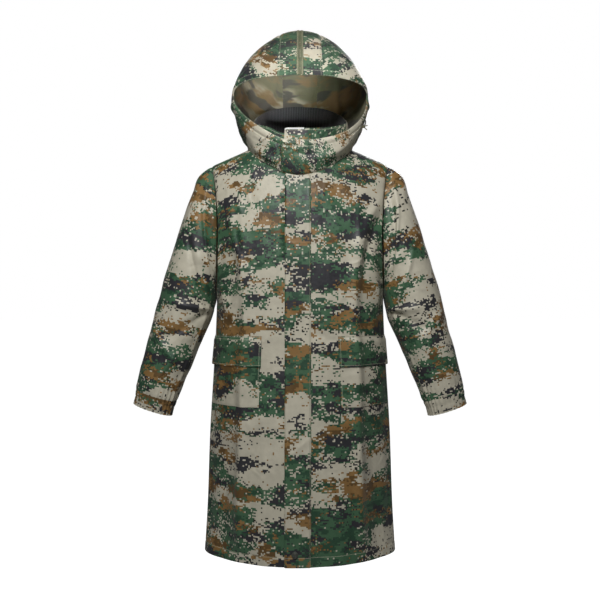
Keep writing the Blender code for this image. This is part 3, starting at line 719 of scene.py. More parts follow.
STITCH_HALF_WIDTH = 0.00045
THREAD = (0.42, 0.42, 0.31, 1.0)
# The underside's tones, each with the patch it belongs to and where that patch starts and is full
UNDER_SAND = (0.54, 0.50, 0.37, 1.0)
UNDER_TONES = (
    (LEAF_PATCH, 0.38, 0.52, (0.205, 0.205, 0.130, 1.0)),
    (EARTH_PATCH, 0.48, 0.62, (0.30, 0.215, 0.115, 1.0)),
    (COAL_PATCH, 0.54, 0.66, (0.135, 0.130, 0.112, 1.0)),
)


def maths(tree, operation, a, b=0.0, c=0.0):
    return add_node(tree, "ShaderNodeMath", {"operation": operation}, {0: a, 1: b, 2: c}).outputs[0]


def on_cloth(tree):
    return add_node(tree, "ShaderNodeUVMap", {"uv_map": "cloth"}, {}).outputs[0]


def cells(tree, place, width):
    """The place snapped to the print's cells, each of which has one colour."""
    return add_node(tree, "ShaderNodeVectorMath", {"operation": "SNAP"},
                    {0: place, 1: (width, PRINT_CELL, PRINT_CELL)}).outputs[0]


def print_field(tree, place, patch):
    """Uneven field of one of the print's colours, which shows where the field is high."""
    spread_out = add_node(tree, "ShaderNodeVectorMath", {"operation": "MULTIPLY_ADD"},
                          {0: place, 1: (patch.across, patch.up, 1.0),
                           2: (patch.offset, patch.offset * 1.7, 0.0)}).outputs[0]
    return mottle(tree, spread_out, 1.0, Detail=patch.detail, Roughness=patch.roughness,
                  Lacunarity=PATCH_ROUGHENING)


def ragged_field(tree, place, stray, patch):
    return maths(tree, "MULTIPLY_ADD", stray, patch.ragged, print_field(tree, place, patch))


def shows(tree, field, patch):
    return maths(tree, "GREATER_THAN", field, patch.start)


def stray_cells(tree, place, width):
    """Mostly zero, and far from it on a few cells; cells are one or two wide."""
    chance = add_node(tree, "ShaderNodeTexWhiteNoise", {"noise_dimensions": "2D"},
                      {"Vector": cells(tree, place, width)}).outputs[0]
    centred = maths(tree, "MULTIPLY_ADD", chance, 2.0, -1.0)
    squared = maths(tree, "MULTIPLY", centred, centred)
    lone = maths(tree, "MULTIPLY", maths(tree, "MULTIPLY", squared, squared), centred)
    return maths(tree, "MULTIPLY_ADD", centred, STRAY_LEAN, lone), chance


def ribs(tree, place, direction, scale):
    return add_node(tree, "ShaderNodeTexWave", {"bands_direction": direction},
                    {"Vector": place, "Scale": scale}).outputs["Fac"]


def crinkle_normal(tree, place, shader, strength, thread=0.0):
    """Fine crackle of the coated cloth and its plain weave, with the thread standing out of it."""
    crackle = mottle(tree, place, CRACKLE_SCALE, Detail=3.0, Roughness=0.6)
    rumple = mottle(tree, place, RUMPLE_SCALE, kind="RIDGED_MULTIFRACTAL",
                    Detail=2.0, Roughness=0.5, Distortion=0.6)
    crackle = maths(tree, "MULTIPLY_ADD", rumple, RUMPLE_HEIGHT, crackle)
    weave = maths(tree, "ADD", *(ribs(tree, place, way, WEAVE_SCALE) for way in ("Y", "X")))
    grain = maths(tree, "MULTIPLY_ADD", weave, WEAVE_HEIGHT, crackle)
    height = maths(tree, "MULTIPLY_ADD", thread, THREAD_HEIGHT, grain)
    embossed(tree, shader, height, strength, GRAIN_DEPTH)


def stitched(tree, place, lines):
    """Share of sewing thread at a place: dashes at each inset from each sewn edge of the piece."""
    sides = add_node(tree, "ShaderNodeAttribute", {"attribute_name": "edges"}, {})
    parts = add_node(tree, "ShaderNodeSeparateXYZ", {}, {0: sides.outputs["Vector"]}).outputs
    insets = dict(west=parts[0], east=parts[1], south=parts[2], north=sides.outputs["Alpha"])
    along = add_node(tree, "ShaderNodeSeparateXYZ", {}, {0: place}).outputs
    share = 0.0
    for edge, inset in ((edge, inset) for edge in lines for inset in lines[edge]):
        off = maths(tree, "ABSOLUTE", maths(tree, "SUBTRACT", insets[edge], inset))
        near = ramp(tree, off, STITCH_HALF_WIDTH * 1.3, STITCH_HALF_WIDTH * 0.7)
        run = along[1] if edge in ("west", "east") else along[0]
        beat = maths(tree, "FRACT", maths(tree, "DIVIDE", run, STITCH_LENGTH))
        dash = maths(tree, "MULTIPLY", near, maths(tree, "LESS_THAN", beat, STITCH_SHARE))
        share = maths(tree, "MAXIMUM", dash, share)
    return share


def struck_through():
    """The underside: the print shows through the coating, dull and blurred."""
    material, tree, shader = start_material(
        "shell underside", Roughness=0.62, Specular_IOR_Level=0.3)
    place = on_cloth(tree)
    colour = UNDER_SAND
    for patch, start, full, tone in UNDER_TONES:
        share = ramp(tree, print_field(tree, place, patch), start, full, "SMOOTHSTEP")
        colour = mixed(tree, share, colour, tone)
    coloured(tree, shader, colour)
    crinkle_normal(tree, place, shader, 0.25)
    return material


shell_underside = struck_through()


def printed_shell(use="", **lines):
    """The shell cloth's two faces for one use; lines: its stitching's insets from each edge."""
    material, tree, shader = start_material(
        "camouflage shell" + use, Roughness=0.5, Specular_IOR_Level=0.32, Sheen_Weight=0.05,
        Sheen_Roughness=0.4)
    place = on_cloth(tree)
    cell = cells(tree, place, PRINT_CELL)
    single, _ = stray_cells(tree, place, PRINT_CELL)
    double, chance = stray_cells(tree, place, 2 * PRINT_CELL)
    stray = maths(tree, "ADD", single, double)
    leaf_ground = print_field(tree, cell, LEAF_PATCH)
    leaf = maths(tree, "MULTIPLY_ADD", stray, LEAF_PATCH.ragged, leaf_ground)
    pine, earth, coal, sand, clay = (
        ragged_field(tree, cell, stray, patch)
        for patch in (PINE_PATCH, EARTH_PATCH, COAL_PATCH, SAND_PATCH, CLAY_PATCH))
    coal = maths(tree, "MULTIPLY_ADD", leaf, COAL_BY_LEAF, coal)
    earthy = shows(tree, earth, EARTH_PATCH)
    greens = mixed(tree, shows(tree, pine, PINE_PATCH), LEAF, PINE)
    greens = mixed(tree, maths(tree, "LESS_THAN", leaf_ground, SPECK_BELOW), greens, SPECK)
    browns = mixed(tree, shows(tree, clay, CLAY_PATCH), EARTH, CLAY)
    dots = maths(tree, "MULTIPLY", maths(tree, "LESS_THAN", chance, DOT_CHANCE), earthy)
    colour = SAND
    for share, tone in (
        (shows(tree, leaf, LEAF_PATCH), greens),
        (shows(tree, coal, COAL_PATCH), COAL),
        (shows(tree, sand, SAND_PATCH), SAND),
        (earthy, browns),
        (dots, SAND),
    ):
        colour = mixed(tree, share, colour, tone)
    wear = mottle(tree, place, WEAR_SCALE, Detail=2.0)
    brightness = maths(tree, "MULTIPLY_ADD", wear, WEAR_SPAN, WEAR_DARK)
    worn = add_node(tree, "ShaderNodeHueSaturation", {}, {"Value": brightness, "Color": colour})
    thread = stitched(tree, place, lines) if lines else 0.0
    coloured(tree, shader, mixed(tree, thread, worn.outputs[0], THREAD))
    tree.links.new(maths(tree, "MULTIPLY_ADD", wear, SHELL_GLOSS_SPAN, SHELL_GLOSS),
                   shader.inputs["Roughness"])
    crinkle_normal(tree, place, shader, 0.35, thread)
    return material, shell_underside


HEMMED = printed_shell(" hemmed", south=[HEM_STITCH])
SHELL = printed_shell()


def side_share(point):
    """How far round from the centre to the side seam a place on the body lies."""
    level = level_of(point.z)
    edge = follow(BODY, point.z) if level <= 1 else follow(ARMHOLE, min(point.z, -SHOULDER_DROP))
    return min(abs(point.x) / edge[0], 1.0)


def body_relief(face, point):
    """Drape and creases of the fronts and back, dying out at the side seams."""
    x, z = point.x, point.z
    lift = crease_lift(CREASES[face], x, z)
    lift += crumple(point, BODY_CRUMPLE)
    half_width = follow(BODY, z)[0]
    off_fold = (abs(x) / half_width - PRESS_FOLD_SHARE) * half_width
    waver = PRESS_WAVER * noise.noise(Vector((x * 3, 2.7, z * 7)))
    fold = PRESS_CRISP[face] * math.exp(-abs(off_fold + waver) / PRESS_CRISP_WIDTH)
    fold *= 1 - rise(z, start=PRESS_TOP_Z, width=0.16)
    tuck = PRESS_TUCK * smooth_step((off_fold + waver) / PRESS_TUCK_WIDTH)
    fold -= tuck * (1 - rise(z, start=PRESS_TUCK_TOP_Z, width=0.20))
    off_hem = rise(z, start=HEM_Z, width=HEM_CALM)
    base = PRESS_FOLD_HEIGHT * bump_of(off_fold, PRESS_FOLD_WIDTH) * PRESS_SHARE[face]
    lift += fold * off_hem - 0.85 * base * (1 - off_hem)
    return lift * smooth_step((1 - side_share(point)) / 0.03)


def sewn_edge(distance):
    """A seam: the cloth rolls down into it and stands a little proud beside it."""
    sunk = ridge(distance, at=0, height=-SEAM_SINK, width=SEAM_WIDTH)
    return sunk + ridge(distance, at=0.0075, height=SEAM_SWELL, width=0.004)


def hem_relief(distance):
    """A turned-up hem: doubled cloth below its stitching, pulled in a little by it."""
    doubled = HEM_DOUBLED * smooth_step((HEM_DEPTH - distance) / 0.002)
    return doubled + ridge(distance, at=HEM_DEPTH, height=-HEM_PULL, width=0.0022)


def panel_relief(face, spot, side_seam):
    """A front or the back: its drape, its seams, its armhole's deeper roll and its hem."""
    lift = body_relief(face, spot.point) + sewn_edge(side_seam) + sewn_edge(spot.north)
    lift -= ARMHOLE_SINK * bump_of(side_seam, ARMHOLE_WIDTH) * rise(spot.v, start=0.98, width=0.1)
    return lift + hem_relief(spot.south)


def mirrored(half, side):
    """The columns of a piece on either side of the coat, in order across it."""
    return half if side == LEFT else [-column for column in reversed(half)]


BODY_COLUMNS = 46
HEM_STEPS = [0, 0.003, 0.008, 0.014, 0.019, 0.0215, 0.024, 0.0265, 0.030]
body_rows = [drop / (UNDERARM_Z - HEM_Z) for drop in HEM_STEPS] + spread(0.055, 1, 104)
body_rows = refined(body_rows + spread(1, 2, 58)[1:], at_start=False)
front_half = [ZIP_HALF_GAP] + [column_at(share) for share in spread(0.04, 1, BODY_COLUMNS)]
front_half = refined(front_half, at_start=False)


def front_relief(spot):
    lift = panel_relief(FRONT, spot, spot.east if spot.u > 0 else spot.west)
    return lift + ridge(spot.point.x, at=FLAP_BED_X, height=-FLAP_BED, width=0.0030)


for side, word in SIDES:
    sew("front_" + word, "front_panel_" + word, lambda u, v: body_point(u, v, FRONT),
        mirrored(front_half, side), body_rows, HEMMED, front_relief,
        middle=0 if side == LEFT else len(front_half) - 1, print_shift=(0.31 * side, 0.13 * side))

back_half = refined([column_at(share) for share in spread(0, 1, BODY_COLUMNS)], at_start=False)
sew("back", "back_panel", lambda u, v: body_point(u, v, BACK),
    mirrored(back_half, RIGHT)[:-1] + back_half, body_rows, HEMMED,
    lambda spot: panel_relief(BACK, spot, min(spot.east, spot.west)), sense=-1,
    print_shift=(1.7, 0.4))

# ---- The sleeves and cuffs ----
# One-piece sleeves set into the armholes, pressed flat along their front, gathered by elastic into
# narrow cuff bands.
SLEEVE_ROUND = 2.15
SleeveRing = namedtuple("SleeveRing", "along out_x out_z in_x in_z half_depth y")
SLEEVE = [SleeveRing(*row) for row in (
    (0.00, 0.2332, -0.0415, 0.2200, -0.3720, 0.073, 0.000),
    (0.08, 0.2690, -0.0690, 0.2206, -0.3800, 0.083, 0.000),
    (0.16, 0.2840, -0.1120, 0.2212, -0.3880, 0.088, -0.001),
    (0.26, 0.3080, -0.1780, 0.2226, -0.3990, 0.090, -0.002),
    (0.37, 0.3345, -0.2620, 0.2258, -0.4140, 0.089, -0.004),
    (0.48, 0.3575, -0.3390, 0.2295, -0.4310, 0.087, -0.007),
    (0.58, 0.3745, -0.4055, 0.2368, -0.4530, 0.084, -0.011),
    (0.74, 0.4010, -0.5110, 0.2757, -0.5440, 0.074, -0.020),
    (0.88, 0.4175, -0.5778, 0.3030, -0.6090, 0.066, -0.028),
    (1.00, 0.4267, -0.6256, 0.3222, -0.6585, 0.058, -0.035),
)]
CUFF = [SleeveRing(*row) for row in (
    (0.00, 0.4267, -0.6256, 0.3222, -0.6585, 0.058, -0.035),
    (0.50, 0.4290, -0.6450, 0.3295, -0.6770, 0.0535, -0.036),
    (1.00, 0.4335, -0.6635, 0.3345, -0.6960, 0.0500, -0.037),
)]
# Sleeve creases run between two places, each a turn round the sleeve and a share down it; the turn
# is in degrees, with 90 at the front.
SLEEVE_TURN_SPAN = 0.0013         # metres round the sleeve for each degree
SLEEVE_LENGTH = 0.60
SLEEVE_CREASES = {
    "left": [Crease(*row) for row in (
        (30, 0.02, 100, 0.16, 0.011, 0.0034, 0.004),
        (60, 0.03, 128, 0.20, 0.010, -0.0030, 0.004),
        (150, 0.04, 96, 0.22, 0.010, 0.0030, -0.004),
        (70, 0.30, 120, 0.42, 0.012, 0.0030, 0.006),
        (150, 0.44, 84, 0.56, 0.012, 0.0036, 0.008),
        (148, 0.50, 74, 0.66, 0.011, -0.0030, 0.008),
        (40, 0.60, 118, 0.72, 0.012, 0.0030, 0.006),
        (95, 0.70, 60, 0.92, 0.010, 0.0030, 0.004),
        (210, 0.48, 290, 0.60, 0.012, 0.0034, 0.006),
        (330, 0.08, 250, 0.26, 0.012, 0.0032, 0.006),
        (300, 0.62, 230, 0.82, 0.011, -0.0030, 0.004),
    )],
    "right": [Crease(*row) for row in (
        (36, 0.03, 110, 0.14, 0.011, 0.0030, 0.004),
        (140, 0.05, 90, 0.26, 0.011, 0.0028, -0.004),
        (62, 0.26, 132, 0.40, 0.013, -0.0028, 0.006),
        (140, 0.46, 70, 0.55, 0.012, 0.0036, 0.008),
        (146, 0.53, 66, 0.70, 0.012, -0.0032, 0.008),
        (34, 0.66, 110, 0.78, 0.011, 0.0030, 0.004),
        (108, 0.74, 76, 0.94, 0.009, 0.0028, 0.004),
        (206, 0.46, 282, 0.57, 0.012, 0.0032, 0.006),
        (322, 0.10, 246, 0.24, 0.012, 0.0030, 0.006),
        (292, 0.66, 236, 0.86, 0.011, -0.0030, 0.004),
    )],
}
PRESSED_TURN = 146                # the pressed line down the sleeve's front, near its inner edge
PRESSED_HEIGHT = 0.0026
SLEEVE_HEAD = 0.22                # share of the sleeve over which the armhole's shape fades out
GATHERS = 30
SLEEVE_PLEAT = 0.0019
SLEEVE_CRUMPLE = ((0.060, 0.0024), (0.022, 0.0007))
CUFF_PLEAT = 0.0016
GATHER_SINK = 0.0012
CUFF_STITCH_SINK = 0.0008


def armhole_point(angle, side):
    z = blend(UNDERARM_Z, -SHOULDER_DROP, (1 + math.cos(math.radians(angle))) / 2)
    x = follow(ARMHOLE, z)[0]
    face = FRONT if angle <= 180 else BACK
    return Vector((side * x, body_y(x, z, face), z))


def ring_point(table, along, angle, side):
    out_x, out_z, in_x, in_z, half_depth, y = follow(table, along)
    turn = math.radians(angle)
    reach = signed_power(math.cos(turn), 2 / SLEEVE_ROUND)
    swing = signed_power(math.sin(turn), 2 / SLEEVE_ROUND)
    return Vector((
        side * ((out_x + in_x) / 2 + (out_x - in_x) / 2 * reach),
        y - half_depth * swing,
        (out_z + in_z) / 2 + (out_z - in_z) / 2 * reach,
    ))


def sleeve_point(angle, along, side):
    angle %= 360
    point = ring_point(SLEEVE, along, angle, side)
    if along < SLEEVE_HEAD:
        fade = power(1 - along / SLEEVE_HEAD, 2)
        point += (armhole_point(angle, side) - ring_point(SLEEVE, 0, angle, side)) * fade
    if along == 0:
        point.x += side * GAP
    return point


def gathers(angle, depth):
    """Elastic gathers round a cuff: uneven little pleats."""
    wander = 0.9 * noise.noise(Vector((angle / 34.0, 3.7, 0)))
    wave = math.sin(math.radians(angle) * GATHERS + 4.0 * wander)
    size = 0.65 + 0.5 * noise.noise(Vector((angle / 21.0, 9.1, 0)))
    return depth * size * wave


def cuff_relief(spot):
    lift = gathers(spot.u, CUFF_PLEAT) * (0.75 + 0.25 * math.cos(2 * math.pi * spot.v))
    lift += ridge(spot.south, at=0, height=-GATHER_SINK, width=0.003)
    stitching = bump_of(spot.v - 0.46, 0.05) + bump_of(spot.v - 0.9, 0.035)
    return lift - CUFF_STITCH_SINK * stitching


SLEEVE_COLUMNS = 132
sleeve_turns = spread(180, 540, SLEEVE_COLUMNS)
cuff_turns = spread(180, 540, 2 * SLEEVE_COLUMNS)
sleeve_rows = refined(spread(0, 1, 108))
cuff_rows = [0, 0.04, 0.09, 0.16, 0.26, 0.36, 0.46, 0.54, 0.62, 0.72, 0.82, 0.90, 0.96, 1]
for side, word in SIDES:
    creases = [Crease(c.x0 * SLEEVE_TURN_SPAN, c.z0 * SLEEVE_LENGTH, c.x1 * SLEEVE_TURN_SPAN,
                      c.z1 * SLEEVE_LENGTH, c.width, c.height, c.bow) for c in SLEEVE_CREASES[word]]

    def sleeve_relief(spot):
        turn = spot.u % 360
        lift = crease_lift(creases, turn * SLEEVE_TURN_SPAN, spot.v * SLEEVE_LENGTH)
        lift += crumple(spot.point, SLEEVE_CRUMPLE)
        pressed = bump_of((turn - PRESSED_TURN) * SLEEVE_TURN_SPAN, 0.006)
        lift += PRESSED_HEIGHT * pressed * smooth_step(spot.v / 0.25)
        lift *= smooth_step(spot.south / 0.02)
        lift += gathers(spot.u, SLEEVE_PLEAT) * rise(spot.v, start=0.86, width=0.14)
        lift += ridge(spot.south, at=0, height=-ARMHOLE_SINK, width=ARMHOLE_WIDTH)
        lift = lift + sewn_edge(spot.south) + 0.6 * sewn_edge(min(spot.west, spot.east))
        return lift + ridge(spot.north, at=0, height=-GATHER_SINK, width=0.004)

    sew("sleeve_" + word, "sleeve_" + word + "_shell", lambda u, v: sleeve_point(u, v, side),
        sleeve_turns, sleeve_rows, SHELL, sleeve_relief, sense=side, tube=True,
        print_shift=(0.9 * side, 0.57 + 0.4 * side), unroll=True)

    def cuff_point(angle, along):
        point = ring_point(CUFF, along, angle, side)
        if along == 0:
            point.z -= GAP
        return point

    sew("cuff_" + word, "cuff_" + word + "_band", cuff_point, cuff_turns, cuff_rows, SHELL,
        cuff_relief, held="gathered", sense=side, tube=True, print_shift=(2.1 * side, 0.8))

# ---- The hood ----
# A centre panel between two side panels, with a narrow strip stitched down its middle.  In front
# the wearer's left side panel laps over the right one.  The face edge is turned in for the cord.
HoodRing = namedtuple(
    "HoodRing", "along front_y front_z half_width side_y side_z top_y top_z top_round sweep")
HOOD = [HoodRing(*row) for row in (
    (0.0, -0.1170, -0.0780, 0.1380, 0.000, 0.000, 0.097, -0.020, 2.0, 0.50),
    (1.0, -0.1195, -0.0680, 0.1470, 0.000, 0.036, 0.126, 0.052, 2.0, 0.50),
    (2.0, -0.1215, -0.0580, 0.1570, -0.010, 0.066, 0.148, 0.128, 2.0, 0.50),
    (3.0, -0.1230, -0.0480, 0.1660, -0.022, 0.088, 0.150, 0.205, 2.0, 0.50),
    (4.0, -0.1240, -0.0380, 0.1720, -0.036, 0.104, 0.124, 0.272, 1.9, 0.50),
    (5.0, -0.1248, -0.0280, 0.1750, -0.048, 0.114, 0.070, 0.315, 1.8, 0.50),
    (6.0, -0.1254, -0.0180, 0.1760, -0.058, 0.120, 0.006, 0.322, 1.8, 0.52),
    (7.0, -0.1258, -0.0090, 0.1755, -0.067, 0.123, -0.062, 0.287, 1.8, 0.62),
    (8.0, -0.1260, 0.0000, 0.1740, -0.075, 0.122, -0.118, 0.228, 2.20, 0.78),
    (9.0, -0.1260, 0.0085, 0.1715, -0.082, 0.118, -0.160, 0.164, 3.9, 1.00),
)]
HOOD_RINGS = HOOD[-1].along
HOOD_LOW_ROUND_LEFT = 2.2
HOOD_LOW_ROUND_RIGHT = 1.4
HOOD_RIGHT_CHIN_DROP = 0.0085
HOOD_CENTRE_NECK = 0.045
HOOD_CENTRE_BRIM = 0.057
HOOD_LAP_X = -0.048
HOOD_LAP_LIFT = CLOTH + 2 * GAP
HOOD_LAP_RISE = 0.030
LAP_EDGE_ROLL = 0.0024
LAP_BED = 0.0035          # the right side panel is pressed in under the lap's edge
HOOD_STRIP_HALF_WIDTH = 0.0085
HOOD_CRUMPLE = ((0.060, 0.0020), (0.020, 0.0005))
HOOD_STRIP_START = 1.3
TUNNEL_WIDTH = 0.017
TUNNEL_SWELL = 0.0013
TUNNEL_STITCH = 0.0165
HOOD_MIDDLE = 40          # the column that the side panels' grain is laid by
HOOD_BACK_Y = 0.010       # behind this the back's folds begin, and ahead of the next the front's
HOOD_FRONT_Y = -0.060
HOOD_FRONT_TOP_Z = 0.03   # the front's folds stay below this
HOOD_CHEEK_X = 0.110      # outside this the cheeks' folds begin
HOOD_ZONE_FADE = 0.03
HOOD_NECK_CALM = 0.02     # the folds die out over these distances from neck, seams and face
HOOD_SEAM_CALM = 0.015
HOOD_FACE_CALM = 0.012
CORD_CALM = 0.014         # no fold stands nearer than this to a drawcord's end
CORD_CALM_FADE = 0.022
CORD_BED = 0.0011
# Creases of the hood: across and up on its back and front, and front to back and up on its cheeks
HOOD_BACK_CREASES = [Crease(*row) for row in (
    (0.046, 0.225, 0.030, 0.120, 0.0078, 0.0052, 0.004),
    (0.064, 0.220, 0.049, 0.125, 0.0070, -0.0050, 0.004),
    (-0.044, 0.215, -0.112, 0.120, 0.0105, 0.0054, -0.016),
    (-0.068, 0.225, -0.130, 0.140, 0.0095, -0.0050, -0.014),
    (-0.036, 0.170, -0.100, 0.095, 0.0090, -0.0046, -0.014),
    (0.100, 0.210, 0.104, 0.120, 0.0095, 0.0044, 0.003),
    (0.120, 0.195, 0.124, 0.120, 0.0090, -0.0040, 0.002),
    (0.020, 0.080, 0.110, 0.070, 0.0120, 0.0040, 0.006),
)]
HOOD_CHEEK_CREASES = [Crease(*row) for row in (
    (-0.040, 0.060, 0.070, 0.020, 0.012, 0.0040, 0.010),
    (-0.060, 0.030, 0.050, -0.004, 0.010, -0.0034, 0.008),
    (0.020, 0.250, 0.110, 0.150, 0.016, 0.0040, 0.010),
    (-0.020, 0.180, 0.100, 0.110, 0.014, -0.0036, 0.010),
    (-0.070, 0.110, 0.010, 0.090, 0.010, 0.0030, 0.004),
)]
HOOD_FRONT_CREASES = [Crease(*row) for row in (
    (-0.118, -0.002, -0.052, -0.048, 0.010, 0.0030, 0.006),
    (-0.108, -0.024, -0.060, -0.062, 0.008, -0.0024, 0.004),
    (0.122, 0.006, 0.050, -0.038, 0.010, 0.0030, -0.006),
    (0.128, -0.020, 0.066, -0.056, 0.008, -0.0026, -0.004),
    (-0.020, -0.020, 0.030, -0.028, 0.008, -0.0016, 0.002),
)]


def neck_point(turn, side):
    x = NECK_HALF_WIDTH * math.cos(math.radians(turn))
    face = FRONT if turn < 0 else BACK
    z = neck_line(x, face)
    return Vector((side * x, body_y(x, z, face), z))


def hood_point(turn, along, side):
    ring = follow(HOOD, along)
    front_y, front_z, half_width, side_y, side_z, top_y, top_z, top_round, sweep = ring
    angle = math.radians(turn)
    low_end = HOOD_LOW_ROUND_LEFT if side == LEFT else HOOD_LOW_ROUND_RIGHT
    low_round = blend(2.0, low_end, along / HOOD_RINGS)
    bend = 2 / (top_round if turn > 0 else low_round)
    x = half_width * signed_power(math.cos(angle), bend)
    climb = power(abs(math.sin(angle)), bend)
    if turn > 0:
        forward = power(1 - (x / half_width) ** 2, sweep)
        point = Vector((side * x, blend(side_y, top_y, forward), blend(side_z, top_z, climb)))
    else:
        if side == RIGHT:
            front_z -= HOOD_RIGHT_CHIN_DROP * along / HOOD_RINGS
        point = Vector((side * x, blend(side_y, front_y, climb), blend(side_z, front_z, climb)))
    if along < 2:
        flat = follow(HOOD, 0)
        base = Vector((side * NECK_HALF_WIDTH * math.cos(angle),
                       blend(flat[3], flat[5] if turn > 0 else flat[0], abs(math.sin(angle))),
                       blend(flat[4], flat[6] if turn > 0 else flat[1], abs(math.sin(angle)))))
        point += (neck_point(turn, side) - base) * power(1 - along / 2, 2)
        point.z += GAP * power(1 - along / 2, 2)
    return point


def turn_at(x, along):
    half_width = follow(HOOD, along)[2]
    low_round = blend(2.0, HOOD_LOW_ROUND_LEFT, along / HOOD_RINGS)
    cosine = signed_power(x / half_width, low_round / 2)
    return -math.degrees(math.acos(cosine))


def seam_turn(along, x=None):
    ring = follow(HOOD, along)
    if x is None:
        x = blend(HOOD_CENTRE_NECK, HOOD_CENTRE_BRIM, along / HOOD_RINGS)
    return math.degrees(math.acos(power(x / ring[2], ring[7] / 2)))


def hood_side_point(column, along, side):
    if column > 0:
        turn = column / seam_turn(0) * (seam_turn(along) - 0.1)
    elif column < -90:
        lap_now = turn_at(HOOD_LAP_X, along) + 90
        lap_foot = turn_at(HOOD_LAP_X, 0) + 90
        turn = -90 + (column + 90) * lap_now / lap_foot
    else:
        turn = column
    return hood_point(turn, along, side)


def hood_centre_point(across, along):
    side = LEFT if across >= 0 else RIGHT
    half = blend(HOOD_CENTRE_NECK, HOOD_CENTRE_BRIM, along / HOOD_RINGS)
    return hood_point(seam_turn(along, abs(across) * half), along, side)


def cord_clearance(point):
    """Share of a fold's height: none by a drawcord's end, which lies on smooth cloth."""
    route = CORD_LEFT if point.x > 0 else CORD_RIGHT
    nearest = min((point - Vector(place[1:])).length for place in route)
    return smooth_step((nearest - CORD_CALM) / CORD_CALM_FADE)


def hood_folds(point):
    """The soft folds of the hood's back, cheeks and front."""
    behind = rise(point.y, start=HOOD_BACK_Y, width=0.05)
    ahead = smooth_step((HOOD_FRONT_Y - point.y) / HOOD_ZONE_FADE)
    ahead *= smooth_step((HOOD_FRONT_TOP_Z - point.z) / HOOD_ZONE_FADE)
    cheek = smooth_step((abs(point.x) - HOOD_CHEEK_X) / HOOD_ZONE_FADE) * (1 - ahead)
    lift = behind * crease_lift(HOOD_BACK_CREASES, point.x, point.z)
    lift += ahead * crease_lift(HOOD_FRONT_CREASES, point.x, point.z)
    lift += cheek * (1 - 0.6 * behind) * crease_lift(HOOD_CHEEK_CREASES, point.y, point.z)
    lift += crumple(point, HOOD_CRUMPLE)
    return blend(CORD_BED, lift, cord_clearance(point))


def face_edge(distance):
    """The face edge: turned cloth over the cord's tunnel, held by a stitched line."""
    lift = ridge(distance, at=0.009, height=TUNNEL_SWELL, width=0.006)
    lift += ridge(distance, at=TUNNEL_WIDTH, height=-0.0010, width=0.0022)
    return lift + ridge(distance, at=0, height=-0.0006, width=0.0018)


def hood_quiet(spot, seam):
    """How far a place is from the hood's sewn and turned edges, where the folds die out."""
    calm = smooth_step(spot.south / HOOD_NECK_CALM) * smooth_step(seam / HOOD_SEAM_CALM)
    return calm * smooth_step(spot.north / HOOD_FACE_CALM)


def hood_relief(spot, seam):
    lift = hood_folds(spot.point) * hood_quiet(spot, seam) + face_edge(spot.north)
    return lift + sewn_edge(spot.south) + sewn_edge(seam)


def lap_lift(x):
    return HOOD_LAP_LIFT * smooth_step((HOOD_LAP_RISE + ZIP_HALF_GAP - x) / HOOD_LAP_RISE)


TUNNELLED = printed_shell(" tunnelled", north=[TUNNEL_STITCH, 0.0015])
CENTRE_SEWN = printed_shell(" centre", north=[TUNNEL_STITCH], east=[TOPSTITCH], west=[TOPSTITCH])
hood_rows = spread(0, 7.6, 62) + spread(7.6, HOOD_RINGS, 26)[1:]
hood_rows = refined(hood_rows, at_end=False)
seam_foot = seam_turn(0)
lap_foot = turn_at(HOOD_LAP_X, 0)
hood_fit = {
    "left": refined(spread(lap_foot, -90, 10) + spread(-90, 0, 48)[1:]
                    + spread(0, seam_foot, 40)[1:]),
    "right": refined(spread(turn_at(ZIP_HALF_GAP, 0), 0, 48) + spread(0, seam_foot, 40)[1:]),
}
for side, word in SIDES:

    def hood_side_relief(spot):
        lift = hood_relief(spot, spot.east)
        ahead = spot.point.y < -0.05
        if side == LEFT:
            lift += lap_lift(spot.point.x) if ahead else 0.0
            lift += ridge(spot.west, at=0, height=-LAP_EDGE_ROLL, width=0.0028)
        elif ahead:
            lift -= LAP_BED * bump_of(spot.point.x - HOOD_LAP_X + 0.0035, 0.0030)
        return lift

    sew("hood_side_" + word, "hood_side_panel_" + word, lambda u, v: hood_side_point(u, v, side),
        hood_fit[word], hood_rows, TUNNELLED, hood_side_relief, sense=side, middle=HOOD_MIDDLE,
        print_shift=(3.3 * side, 1.9), unroll=True)

sew("hood_centre", "hood_centre_panel", hood_centre_point, refined(spread(-1, 1, 26)), hood_rows,
    CENTRE_SEWN, lambda spot: hood_relief(spot, min(spot.east, spot.west)), sense=-1,
    print_shift=(5.2, 0.2), unroll=True)

# The strip: the shell cloth with its paler olive face outwards, folded and stitched at both edges
STRIP_OLIVE = (0.160, 0.155, 0.088, 1.0)
STRIP_SHADE = (0.085, 0.092, 0.052, 1.0)
STRIP_THREAD = (0.42, 0.41, 0.29, 1.0)
STRIP_STAND = 0.0012
STRIP_THICKNESS = 0.0009


def olive_strip():
    material, tree, shader = start_material("olive strip", Roughness=0.6, Specular_IOR_Level=0.35)
    place = on_cloth(tree)
    share = ramp(tree, print_field(tree, place, LEAF_PATCH), 0.42, 0.6)
    thread = stitched(tree, place, dict(east=[0.0028], west=[0.0028]))
    olive = mixed(tree, share, STRIP_OLIVE, STRIP_SHADE)
    coloured(tree, shader, mixed(tree, thread, olive, STRIP_THREAD))
    crinkle_normal(tree, place, shader, 0.3, thread)
    return material


def strip_point(across, along):
    half = blend(HOOD_CENTRE_NECK, HOOD_CENTRE_BRIM, along / HOOD_RINGS)
    return hood_centre_point(across / half, along)


def strip_relief(spot):
    edge = min(spot.east, spot.west)
    lift = hood_folds(spot.point) * hood_quiet(spot, HOOD_SEAM_CALM)
    rolled = ridge(edge, at=0, height=0.0009, width=0.0012)
    lift -= rolled + ridge(edge, at=0.003, height=0.0005, width=0.0008)
    lift += face_edge(spot.north)
    return lift + ridge(edge, at=HOOD_STRIP_HALF_WIDTH, height=-0.0016, width=0.0022)


